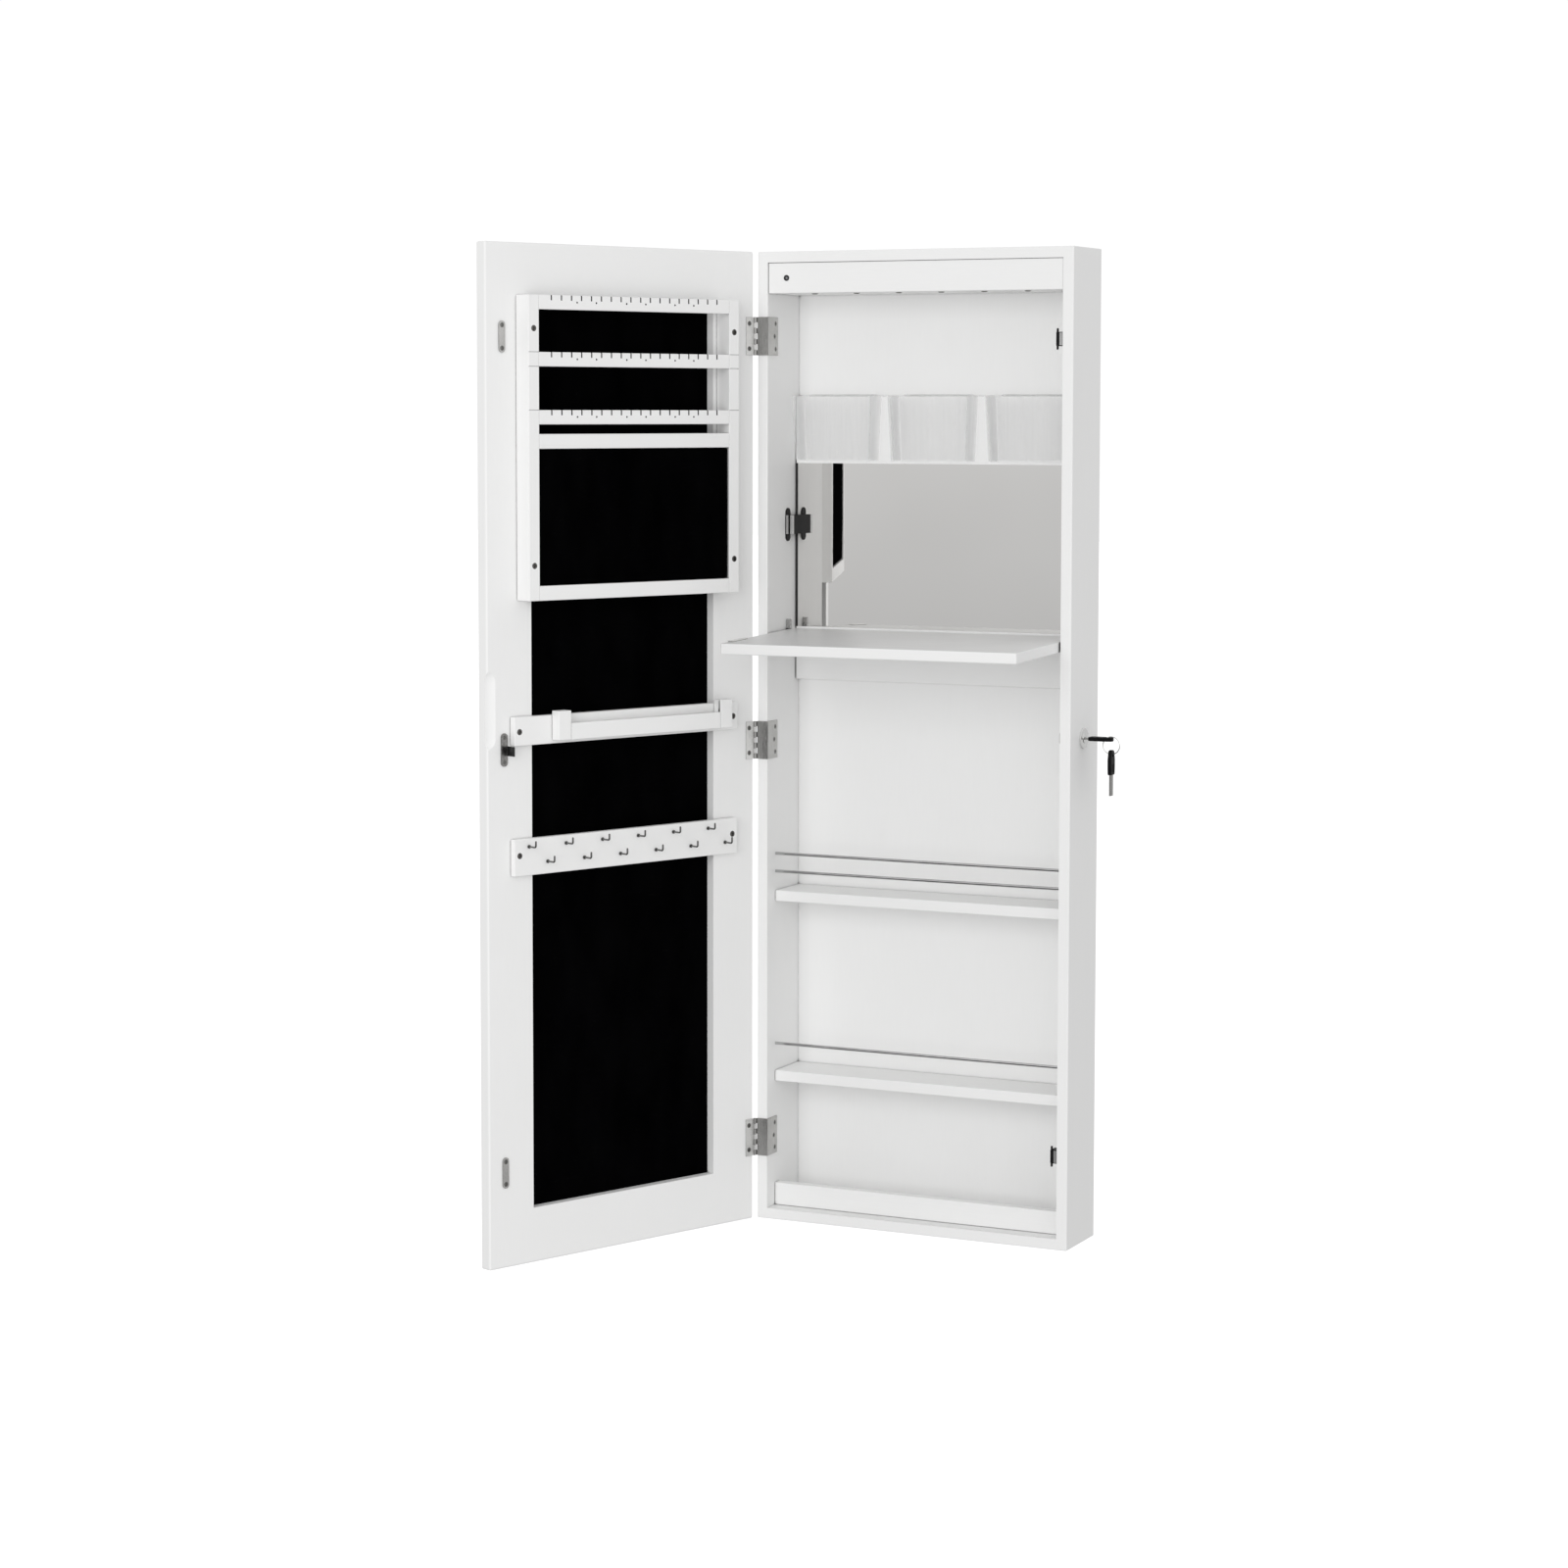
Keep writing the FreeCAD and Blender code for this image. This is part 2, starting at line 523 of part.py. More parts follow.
soffit_deep = f"({BACK_FACE} - @rail_thick - @fascia_setback - @fascia_thick)"
soffit_front = "(@fascia_setback + @fascia_thick)"
soffit = block("soffit_blank", (housing_wide, soffit_deep, "@soffit_thick"),
               (housing_left, soffit_front, "@housing_bottom"))
cells_wide = "(@cell_length + 3)"
cells_deep = "(2 * @cell_pitch + 2 * @cell_radius + 1)"
holder_corner = ("@battery_across", "@battery_depth")
lid_corner = ("@battery_across + @battery_wall + 0.2", "@battery_depth + @battery_wall + 0.2")
lid = board("lid_board", (f"{cells_wide} - 0.4", f"{cells_deep} - 0.4", "@soffit_thick - 1"),
            (*lid_corner, "@housing_bottom"), 0.5)
node("battery_lid", [lid])
lid_hole = block("lid_hole", (cells_wide, cells_deep, "@soffit_thick"),
                 ("@battery_across + @battery_wall", "@battery_depth + @battery_wall",
                  "@housing_bottom"))
node("led_soffit", [cut("soffit_cut", soffit, lamps + [lid_hole])])
holder_high = "(2 * @cell_radius + 2 + @battery_wall)"
holder_block = block("battery_holder", (f"{cells_wide} + 2 * @battery_wall",
                                        f"{cells_deep} + 2 * @battery_wall", holder_high),
                     (*holder_corner, "@housing_bottom + @soffit_thick"))
holder_hollow = block("battery_hollow", (cells_wide, cells_deep, "2 * @cell_radius + 2"),
                      ("@battery_across + @battery_wall", "@battery_depth + @battery_wall",
                       "@housing_bottom + @soffit_thick"))
node("battery_box", [cut("battery_box_cut", holder_block, [holder_hollow])])
cells = []
CELL_TIP = 1.2
for i in range(3):
    depth = f"@battery_depth + @battery_wall + 0.5 + @cell_radius + {i} * @cell_pitch"
    height = "@housing_bottom + @soffit_thick + @cell_radius + 1"
    can = round_bar(f"cell_can_{i}", "@cell_radius", f"@cell_length - {CELL_TIP}",
                    ("@battery_across + @battery_wall + 1.5", depth, height), "x")
    tip = round_bar(f"cell_tip_{i}", 1.9, "@cell_length",
                    ("@battery_across + @battery_wall + 1.5", depth, height), "x")
    cells.append(fuse(f"cell_{i}", [can, tip]))
node("batteries", cells)

# ---------------------------------------------------------------- hinges

pin_at = ("@pin_across", "@pin_front")
knuckle_long = "(@hinge_length / @knuckle_count)"
KNUCKLE_GAP = 0.15
flange_foot = "-@leaf_thick"


def knuckles(name, first, plate, bore_radius):
    """A hinge leaf: a plate joined to every other knuckle, bored for the pin."""
    barrels = []
    tabs = []
    for k in range(first, int(dim("knuckle_count")), 2):
        low = f"{k} * {knuckle_long} + {KNUCKLE_GAP}"
        long = f"{knuckle_long} - 2 * {KNUCKLE_GAP}"
        barrels.append(round_bar(f"{name}_knuckle_{k}", "@knuckle_radius", long, (*pin_at, low)))
        tab_wide, tab_deep = plate
        tabs.append(block(f"{name}_tab_{k}", (tab_wide, "@leaf_thick", long),
                          ("@pin_across", tab_deep, low)))
    bore = round_bar(f"{name}_bore", bore_radius, "@hinge_length + 2", (*pin_at, -1))
    return barrels + tabs, bore


tab_reach = "(@knuckle_radius + @hinge_clearance)"
case_tabs, case_bore = knuckles("case_leaf", 0, (f"{tab_reach} + 1", "-@leaf_thick"), "@pin_radius")
case_front = block("case_leaf_front",
                   (f"@board + @leaf_thick - @pin_across - {tab_reach}", "@leaf_thick",
                    "@hinge_length"), (f"@pin_across + {tab_reach}", "-@leaf_thick", 0))
case_inside = board("case_leaf_inside", ("@leaf_thick", "@case_flange + @leaf_thick",
                                         "@hinge_length"), ("@board", flange_foot, 0), 0.3)
case_leaf = cut("case_leaf", fuse("case_leaf_whole", case_tabs + [case_front, case_inside]),
                [case_bore])
door_face = "(-@door_gap)"
door_tabs, door_bore = knuckles("door_leaf", 1, (f"{tab_reach} + 1", door_face),
                                "@pin_radius + @pin_clearance")
door_plate = board("door_leaf_plate",
                   (f"@door_leaf - @pin_across - {tab_reach}", "@leaf_thick", "@hinge_length"),
                   (f"@pin_across + {tab_reach}", door_face, 0), 0.3)
door_leaf = cut("door_leaf", fuse("door_leaf_whole", door_tabs + [door_plate]), [door_bore])


def raised(name, source, heights):
    """Copies of one drawn piece at several heights up the case."""
    made = []
    for i, height in enumerate(heights, start=1):
        link = doc.addObject("App::Link", f"{name}_{i}")
        link.LinkedObject = source
        link.LinkTransform = False
        link.setExpression("LinkPlacement.Base.z", sized(height))
        made.append(link)
    return made


hinge_feet = [f"{height} - @hinge_length / 2" for height in HINGES]
case_leaves = raised("case_leaf_at", case_leaf, hinge_feet)
door_leaves = raised("door_leaf_at", door_leaf, hinge_feet)
pins = [round_bar(f"hinge_pin_{i}", "@pin_radius", "@hinge_length", (*pin_at, foot))
        for i, foot in enumerate(hinge_feet, start=1)]
node("hinge_case_leaves", [cut("case_leaves_drilled", group("case_leaves", case_leaves),
                               flange_holes)])
node("hinge_pins", pins)

# ---------------------------------------------------------------- catches and tray stops

# Each door catch is a moulded body on the right side panel. A steel pole plate shows at its front,
# and a peg with rounded ends runs through its outer corner.
catch_left = "(@case_width - @board - @catch_width)"
catch_bodies = []
magnets = []
for i, height in enumerate(CATCHES, start=1):
    shell_box = board(f"catch_body_{i}", ("@catch_width", "@catch_deep", "@catch_height"),
                      (catch_left, "@catch_setback", f"{height} - @catch_height / 2"), 0.6)
    peg_at = (f"{catch_left} + @catch_peg_radius", "@catch_setback + @catch_peg_radius + 0.6")
    peg = round_bar(f"catch_peg_{i}", "@catch_peg_radius", "@catch_peg_height - 2 * @catch_peg_radius",
                    (*peg_at, f"{height} - @catch_peg_height / 2 + @catch_peg_radius"))
    peg_ends = []
    for side in (-1, 1):
        end = doc.addObject("Part::Sphere", f"catch_peg_end_{i}")
        end.setExpression("Radius", sized("@catch_peg_radius"))
        reach = "(@catch_peg_height / 2 - @catch_peg_radius)"
        peg_ends.append(place(end, *peg_at, f"{height} + {side} * {reach}"))
    magnet = block(f"magnet_{i}", ("@pole_wide", "@magnet_deep", "@catch_height - 1.6"),
                   (f"{catch_left} + @catch_width - @pole_wide - 0.6", "@catch_setback - @pole_proud",
                    f"{height} - @catch_height / 2 + 0.8"))
    catch_bodies.append(cut(f"catch_{i}", fuse(f"catch_whole_{i}", [shell_box, peg] + peg_ends),
                            [magnet]))
    magnets.append(magnet)

# The tray's catch stands on the left side panel: a plate with rounded ears, a body that reaches
# back to the mirror board, and two pole plates with a gap between them.
tray_catch_face = "(@tray_pivot_depth + @tray_thick / 2 + @tray_catch_behind)"
tray_catch_middle = "(@tray_pivot_height + @tray_strike_near + @tray_catch_height / 2)"


def ear_plate(name, wide, high, thick):
    """A plate standing across X, its two ends rounded in full."""
    plate = new_body(name)
    face = sketch_on(plate, "YZ_Plane", f"{name}_face")
    half = dim(high) / 2
    deep = dim(wide)
    end = deep / 2 - 0.05
    outline(face, [(0, -half), (deep, -half), (deep, half), (0, half)], {i: end for i in range(4)})
    pad(plate, face, thick, f"{name}_thickness")
    return plate


ears = place(ear_plate("tray_catch_ears", "tray_catch_ear", "tray_catch_height", "@tray_catch_left"),
             "@board", tray_catch_face, tray_catch_middle)
tray_catch_wide = "(2 * @tray_pole + @tray_pole_gap)"
tray_catch_body = block("tray_catch_block",
                        (f"{tray_catch_wide} + 0.1", f"{BOARD_FACE} - {tray_catch_face} - 0.6",
                         "@tray_catch_body"),
                        ("@board + @tray_catch_left - 0.1", f"{tray_catch_face} + 0.6",
                         f"{tray_catch_middle} - @tray_catch_body / 2"))
tray_poles = [block(f"tray_pole_{i}", ("@tray_pole", "@tray_pole_deep", "@tray_catch_body"),
                    (f"@board + @tray_catch_left + {i} * (@tray_pole + @tray_pole_gap)",
                     f"{tray_catch_face} - @pole_proud", f"{tray_catch_middle} - @tray_catch_body / 2"))
              for i in range(2)]
tray_catch = cut("tray_catch", fuse("tray_catch_whole", [ears, tray_catch_body]), tray_poles)
node("magnetic_catches", catch_bodies + [tray_catch])
node("catch_magnets", magnets + tray_poles)

# The tray's stops: a short steel peg on each side panel, with a rounded top.
stop_at = ("@tray_pivot_depth + @stop_behind", "@tray_pivot_height + @stop_rise")
stop = new_body("stop_body")
stop_face = sketch_on(stop, "YZ_Plane", "stop_face")
stop_half = dim("stop_wide") / 2
stop_high = dim("stop_height") / 2
outline(stop_face, [(-stop_half, -stop_high), (stop_half, -stop_high), (stop_half, stop_high),
                    (-stop_half, stop_high)],
        {0: 0.6, 1: 0.6, 2: stop_half - 0.1, 3: stop_half - 0.1})
pad(stop, stop_face, "@stop_length", "stop_length", Midplane=True)
node("tray_stops", copies("tray_stop", stop, [("@board + @stop_length / 2", *stop_at),
                                              ("@case_width - @board - @stop_length / 2", *stop_at)]))

# ---------------------------------------------------------------- lock

right_side = "@case_width"
barrel_head = round_bar("lock_rosette", "@rosette_radius", "@rosette_proud",
                        (right_side, *lock_at), "x")
barrel_body = round_bar("lock_sleeve", "@barrel_radius", "@barrel_length + 0.5",
                        ("@case_width - @barrel_length", *lock_at), "x")
plug_bore = round_bar("plug_bore", "@plug_radius + @pin_clearance", 40,
                      ("@case_width - @barrel_length - 5", *lock_at), "x")
node("lock_barrel", [cut("lock_barrel_cut", fuse("lock_barrel_whole", [barrel_head, barrel_body]),
                         [plug_bore])])
nut_blank = doc.addObject("Part::Prism", "lock_nut_blank")
nut_blank.Polygon = 6
nut_blank.setExpression("Circumradius", sized("@nut_across_flats / 2 / cos(30)"))
nut_blank.setExpression("Height", sized("@nut_thick"))
turn(nut_blank, *AXES["x"])
place(nut_blank, "@case_width - @board - @nut_thick", *lock_at)
nut_bore = round_bar("lock_nut_bore", "@barrel_radius + 0.05", "@nut_thick + 2",
                     ("@case_width - @board - @nut_thick - 1", *lock_at), "x")
node("lock_nut", [cut("lock_nut_cut", nut_blank, [nut_bore])])

plug_body = round_bar("plug_round", "@plug_radius", "@barrel_length + @rosette_proud + 0.5",
                      ("@case_width - @barrel_length", *lock_at), "x")
plug_tail = round_bar("plug_tail", "@plug_tail_radius", 4.5,
                      ("@case_width - @barrel_length - 4", *lock_at), "x")
keyway = block("keyway", ("22", "@key_slot_wide", "@key_slot_high"),
               ("@key_tip - 0.6", "@lock_depth - @key_slot_wide / 2",
                "@lock_height - @key_slot_high / 2"))
node("lock_plug", [cut("lock_plug_cut", fuse("lock_plug_whole", [plug_body, plug_tail]), [keyway])])

# The cam hangs straight down while the lock is open. Turned a quarter turn it points forwards,
# and its nose stands behind the strike's lip.
cam = new_body("cam_body")
cam_face = sketch_on(cam, "YZ_Plane", "cam_face")
outline(cam_face, [(-6, 6), (6, 6), (12, -6), (12, -34), (-1, -34), (-1, -30), (4.5, -30),
                   (4.5, -12), (-6, -6)], {0: 3, 1: 3, 2: 4, 3: 1, 7: 4, 8: 3})
pad(cam, cam_face, "@cam_thick", "cam_plate")
place(cam, "@cam_across", *lock_at)
cam_bore = round_bar("cam_bore", "@plug_tail_radius", "@cam_thick + 2",
                     ("@cam_across - 1", *lock_at), "x")
node("lock_cam", [cut("lock_cam_cut", cam, [cam_bore])])

# ---------------------------------------------------------------- door frame, mirror and lining


def at_door(across, proud, height):
    """A place on the shut door, its depth measured from the door's inner face."""
    return (across, f"-@door_gap + ({proud})", height)


door = new_body("door_blank")
door_outline = sketch_on(door, "XZ_Plane", "door_outline")
rectangle(door_outline, 0, 0, "@case_width", "@case_height")
pad(door, door_outline, "@door_thick", "door_block", Reversed=True)
round_edges(door, "door_eased", "@door_round")
recesses = [("mirror", "@mirror_margin", "0", "@glass_thick"),
            ("lining", "@velvet_margin", "@glass_thick", "@velvet_thick"),
            ("opening", "@stile", "@door_thick - @panel_recess", "@panel_recess")]
for name, margin, depth, deep in recesses:
    face = sketch_on(door, "XZ_Plane", f"door_{name}_face", f"-({depth})")
    rectangle(face, margin, margin, f"@case_width - 2 * {margin}", f"@case_height - 2 * {margin}")
    pocket(door, face, deep, f"door_{name}_cut", Reversed=False)
place(door, *at_door(0, "-@door_thick", 0))


def door_sheet(name, margin, proud, thick):
    return block(name, (f"@case_width - 2 * {margin}", thick, f"@case_height - 2 * {margin}"),
                 at_door(margin, proud, margin))


node("door_mirror", [door_sheet("door_glass", "@mirror_margin", "@mirror_setback - @door_thick",
                                "@glass_thick - @mirror_setback")], "door")
node("velvet_board", [door_sheet("velvet_sheet", "@velvet_margin", "@glass_thick - @door_thick",
                                 "@velvet_thick")], "door")

# ---------------------------------------------------------------- screws in the door

INTO_DOOR = ((1, 0, 0), -90)
hinge_spots = [at_door("6.7", "@leaf_thick", f"{height} + {rise}")
               for height in HINGES for rise in (-13.8, 13.8)]
strike_spots = [at_door("@strike_left + @strike_width / 2", "@strike_thick",
                        f"{height} + {rise}") for height in CATCHES
                for rise in (-STRIKE_SCREW_SPREAD, STRIKE_SCREW_SPREAD)]
lock_strike_spots = [at_door("@strike_left + 3.4", "@strike_thick", f"@lock_strike_height + {rise}")
                     for rise in (-13, 13)]
hinge_screws, hinge_holes = screws("hinge_screw", plate_screw, hinge_spots, *INTO_DOOR)
strike_screws, strike_holes = screws("strike_screw", plate_screw, strike_spots, *INTO_DOOR)
keep_screws, keep_holes = screws("lock_strike_screw", plate_screw, lock_strike_spots, *INTO_DOOR)
node("door_screws", hinge_screws + strike_screws + keep_screws, "door")

right_of = "@case_width - {}".format
side_middle = "@organiser_left + @organiser_board / 2"
organiser_spots = [at_door(across, "@organiser_proud", height)
                   for across in (side_middle, right_of(f"({side_middle})"))
                   for height in (743.8, 990.7)]
holder_spots = [at_door(across, "@holder_thick", 569.4)
                for across in ("@holder_left + 6.7", right_of("(@holder_left + 6.7)"))]
hook_board_spots = [at_door(across, "@hook_board_thick", 438.5)
                    for across in ("@holder_left + 7", right_of("(@holder_left + 7)"))]
side_screws, side_holes = screws("organiser_side_screw", deep_screw, organiser_spots, *INTO_DOOR)
holder_screws, holder_holes = screws("holder_screw", board_screw, holder_spots, *INTO_DOOR)
hook_screws, hook_holes = screws("hook_board_screw", board_screw, hook_board_spots, *INTO_DOOR)
node("board_screws", side_screws + holder_screws + hook_screws, "door")
door_holes = (hinge_holes + strike_holes + keep_holes + side_holes + holder_holes + hook_holes)

# Finger pull: a scoop in the free stile's inner corner.
pull_across = "@case_width"
pull_round = "((@pull_reach * @pull_reach + @pull_end * @pull_end) ^ 0.5)"
pull_low = "@pull_bottom + @pull_end"
pull_high = "@pull_top - @pull_end"
pull_bar = round_bar("pull_bar", pull_round, f"{pull_high} - ({pull_low})",
                     at_door(pull_across, "@pull_reach", pull_low))
pull_balls = []
for i, height in enumerate((pull_low, pull_high), start=1):
    ball = doc.addObject("Part::Sphere", f"pull_ball_{i}")
    ball.setExpression("Radius", sized(pull_round))
    pull_balls.append(place(ball, *at_door(pull_across, "@pull_reach", height)))
pull_tool = fuse("pull_tool", [pull_bar] + pull_balls)


def door_share(name, left, wide, tools):
    """One member of the door frame: its share of the blank, less what passes through it."""
    share = block(f"{name}_share", (wide, "@door_thick", "@case_height"),
                  at_door(left, "-@door_thick", 0))
    piece = common(f"{name}_blank", door, share)
    if tools:
        piece = cut(f"{name}_cut", piece, tools)
    node(name, [piece], "door")


door_share("door_stile_hinge", 0, "@stile", door_holes)
door_share("door_stile_free", "@case_width - @stile", "@stile", door_holes + [pull_tool])
door_share("door_rails", "@stile", "@case_width - 2 * @stile", [])

# ---------------------------------------------------------------- plates on the door

node("hinge_door_leaves", [cut("door_leaves_drilled", group("door_leaves", door_leaves),
                               hinge_holes)], "door")


def rounded_plate(name, wide, high, left, height):
    """A strike on the door's inner face, its two ends rounded in full."""
    plate = new_body(name)
    face = sketch_on(plate, "XZ_Plane", f"{name}_face")
    end = wide / 2 - 0.05
    outline(face, [(0, -high / 2), (wide, -high / 2), (wide, high / 2), (0, high / 2)],
            {i: end for i in range(4)})
    pad(plate, face, "@strike_thick", f"{name}_thickness", Reversed=True)
    return place(plate, *at_door(left, 0, height))


strikes = [rounded_plate(f"strike_plate_{i}", dim("strike_width"), dim("strike_height"),
                         "@strike_left", height)
           for i, height in enumerate(CATCHES, start=1)]
node("door_strikes", [cut("strikes_drilled", group("strikes", strikes), strike_holes)], "door")
keep_left = "(@strike_left - 1)"
keep_plate = rounded_plate("keep_plate", dim("strike_width") + 0.6, 35, keep_left,
                           "@lock_strike_height")
keep_tab = block("keep_tab", ("@strike_thick", "@keep_reach", 10.2),
                 at_door(keep_left, 0, "@lock_height - 9.2"))
keep_lip = block("keep_lip", ("@strike_thick + 4", "@strike_thick", 5.1),
                 at_door(keep_left, "@keep_reach - @strike_thick", "@lock_height - 4.1"))
node("lock_strike", [cut("lock_strike_cut", fuse("lock_strike_whole",
                                                 [keep_plate, keep_tab, keep_lip]), keep_holes)],
     "door")

# ---------------------------------------------------------------- organiser on the door

organiser_right = "(@case_width - @organiser_left - @organiser_board)"
between = f"({organiser_right} - @organiser_left - @organiser_board)"
between_left = "(@organiser_left + @organiser_board)"
sides = [board(f"organiser_side_{i}", ("@organiser_board", "@organiser_proud",
                                       "@organiser_top - @organiser_bottom"),
               at_door(left, 0, "@organiser_bottom"))
         for i, left in enumerate(("@organiser_left", organiser_right), start=1)]
node("organiser_sides", [cut("sides_drilled", group("sides", sides), side_holes)], "door")

strip_blank = board("strip_blank", (between, "@strip_thick", "@strip_height"),
                    at_door(between_left, "@organiser_proud - @strip_thick",
                            "@organiser_top - @strip_height"))
notches = [block(f"notch_{i}", ("@slot_width", "@strip_thick + 2", "@slot_depth + 1"),
                 at_door(f"@slot_first + {i} * @slot_pitch", "@organiser_proud - @strip_thick - 1",
                         "@organiser_top - @slot_depth"))
           for i in range(int(dim("slot_count")))]
STUD_PLACES = (105.5, 132, 173, 199.5, 241, 267)
stud_holes = [round_bar(f"stud_hole_{i}", "@stud_hole_radius", "@strip_thick + 2",
                        at_door(across, "@organiser_proud - @strip_thick - 1",
                                "@organiser_top - @stud_hole_drop"), "y")
              for i, across in enumerate(STUD_PLACES, start=1)]
strip = cut("earring_strip", strip_blank, notches + stud_holes)


def lowered(name, source, drops):
    """Links to one placed piece, each moved straight down by its own drop."""
    made = []
    for i, drop in enumerate(drops, start=1):
        link = doc.addObject("App::Link", f"{name}_{i}")
        link.LinkedObject = source
        link.LinkTransform = True
        link.setExpression("Placement.Base.z", sized(f"-({drop})"))
        made.append(link)
    return made


strips = lowered("strip_at", strip, ("0", "@organiser_top - @strip_middle_top",
                                     "@organiser_top - @strip_low_top"))
node("earring_strips", strips, "door")
pad_rails = [board(f"pad_rail_{i}", (between, "@pad_rail_thick", high),
                   at_door(between_left, "@organiser_proud - @pad_rail_thick", low))
             for i, (low, high) in enumerate((("@organiser_bottom", "@pad_bottom - @organiser_bottom"),
                                              ("@pad_top", "@pad_rail_top - @pad_top")), start=1)]
node("pad_rails", pad_rails, "door")
cushion = board("cushion", (between, "@pad_thick", "@pad_top - @pad_bottom"),
                at_door(between_left, "@organiser_proud - @pad_setback - @pad_thick",
                        "@pad_bottom"), "@pad_round")
node("stud_pad", [cushion], "door")

# ---------------------------------------------------------------- bracelet holder and hook board

holder_wide = "(@case_width - 2 * @holder_left)"
holder = board("holder_board", (holder_wide, "@holder_thick", "@holder_height"),
               at_door("@holder_left", 0, "@holder_bottom"))
node("bracelet_board", [cut("holder_drilled", holder, holder_holes)], "door")

cradle_start = "(@cradle_near + @cradle_arm)"
cradle_inner = f"(@cradle_far - {cradle_start})"
bar_off = "(@holder_thick + @cradle_deep - @bar_thick)"
tongue_off = "(@holder_thick + @cradle_deep - @bar_thick / 2)"
arms = [board(f"cradle_arm_{i}", ("@cradle_arm", "@cradle_deep", "@cradle_top - @cradle_bottom"),
              at_door(left, "@holder_thick", "@cradle_bottom"))
        for i, left in enumerate(("@cradle_near", "@cradle_far"), start=1)]
groove_thick = "(@tongue_thick + 0.5)"
grooves = block("cradle_grooves", (f"{cradle_inner} + 2 * (@tongue + 0.4)", groove_thick,
                                   "@cradle_top - @cradle_bottom - @cradle_foot + 1"),
                at_door(f"{cradle_start} - @tongue - 0.4", f"{tongue_off} - {groove_thick} / 2",
                        "@cradle_bottom + @cradle_foot"))
node("bracelet_cradle", [cut(f"cradle_arm_{i}_grooved", arm, [grooves])
                         for i, arm in enumerate(arms, start=1)], "door")
BAR_CLEAR = 0.3
bar_board = board("bar_board", (f"{cradle_inner} - 2 * {BAR_CLEAR}", "@bar_thick",
                                "@bar_top - @cradle_bottom"),
                  at_door(f"{cradle_start} + {BAR_CLEAR}", bar_off, "@cradle_bottom"), 0.6)
bar_tongues = block("bar_tongues", (f"{cradle_inner} + 2 * @tongue", "@tongue_thick",
                                    f"@bar_top - @cradle_bottom - @cradle_foot - {BAR_CLEAR} - 1"),
                    at_door(f"{cradle_start} - @tongue", f"{tongue_off} - @tongue_thick / 2",
                            f"@cradle_bottom + @cradle_foot + {BAR_CLEAR}"))
node("bracelet_bar", [fuse("bar_whole", [bar_board, bar_tongues])], "door")

hook_rail = board("hook_rail", (holder_wide, "@hook_board_thick", "@hook_board_height"),
                  at_door("@holder_left", 0, "@hook_board_bottom"))


def draw_hook():
    """An L-shaped hook along +Y then up, its collar's back face at y = 0."""
    stem_long = "@hook_reach - @hook_wire - @hook_bend"
    tip_long = "@hook_rise - @hook_wire - @hook_bend"
    root = ("@case_width / 2", "@case_depth", "@case_height / 2")
    grip = dim("hook_grip")
    stem = round_bar("hook_stem", "@hook_wire", f"{stem_long} + @hook_grip",
                     (root[0], f"{root[1]} - {grip}", root[2]), "y")
    collar = round_bar("hook_collar", "2 * @hook_wire", 1.2, root, "y")
    bend = doc.addObject("Part::Torus", "hook_corner")
    bend.setExpression("Radius1", sized("@hook_bend"))
    bend.setExpression("Radius2", sized("@hook_wire"))
    bend.Angle3 = 90
    turn(bend, (0, 1, 0), 90)
    place(bend, root[0], f"{root[1]} + {stem_long}", f"{root[2]} + @hook_bend")
    tip = round_bar("hook_tip", "@hook_wire", tip_long,
                    (root[0], f"{root[1]} + @hook_reach - @hook_wire",
                     f"{root[2]} + @hook_bend"))
    ball = doc.addObject("Part::Sphere", "hook_end")
    ball.setExpression("Radius", sized("@hook_wire"))
    place(ball, root[0], f"{root[1]} + @hook_reach - @hook_wire",
          f"{root[2]} + @hook_bend + {tip_long}")
    return fuse("necklace_hook", [stem, collar, bend, tip, ball])


hook = draw_hook()
hook_spots = [at_door(f"@hook_first_high + {i} * @hook_pitch", "@hook_board_thick", "@hook_high")
              for i in range(6)]
hook_spots += [at_door(f"@hook_first_low + {i} * @hook_pitch", "@hook_board_thick", "@hook_low")
               for i in range(6)]
hooks = copies("hook_at", hook, hook_spots)
node("necklace_hooks", hooks, "door")
node("hook_board", [cut("hook_rail_drilled", hook_rail, hook_holes + hooks)], "door")

# ---------------------------------------------------------------- fold-down tray

tray_wide = f"({INNER} - 2 * @tray_clear)"
tray_left = "(@board + @tray_clear)"
tray_right = "(@case_width - @board - @tray_clear)"
tray_face = new_body("tray_blank")
tray_sketch = sketch_on(tray_face, "XY_Plane", "tray_outline")
rectangle(tray_sketch, 0, 0, tray_wide, "@tray_reach + @tray_tail")
pad(tray_face, tray_sketch, "@tray_thick", "tray_thickness")
round_edges(tray_face, "tray_eased", 1.5)
place(tray_face, tray_left, "@tray_pivot_depth - @tray_reach",
      "@tray_pivot_height - @tray_thick / 2")
pin_long = "(@tray_pin_grip + @tray_clear + @tray_pin_socket - 0.3)"
tray_pins = [round_bar("tray_pin_left", "@tray_pin_radius", pin_long,
                       ("@board - @tray_pin_socket + 0.3", *pivot_at), "x"),
             round_bar("tray_pin_right", "@tray_pin_radius", pin_long,
                       (f"{tray_right} - @tray_pin_grip", *pivot_at), "x")]
node("tray_board", [cut("tray_drilled", tray_face, tray_pins)], "tray")
node("tray_pins", tray_pins, "tray")
tray_plate = board("tray_strike_plate", (6, "@tray_catch_height", "@strike_thick"),
                   (f"{tray_left} + 1", "@tray_pivot_depth - @tray_strike_near - @tray_catch_height",
                    "@tray_pivot_height + @tray_thick / 2"), 0.3)
node("tray_strike", [tray_plate], "tray")

# ---------------------------------------------------------------- keys and ring

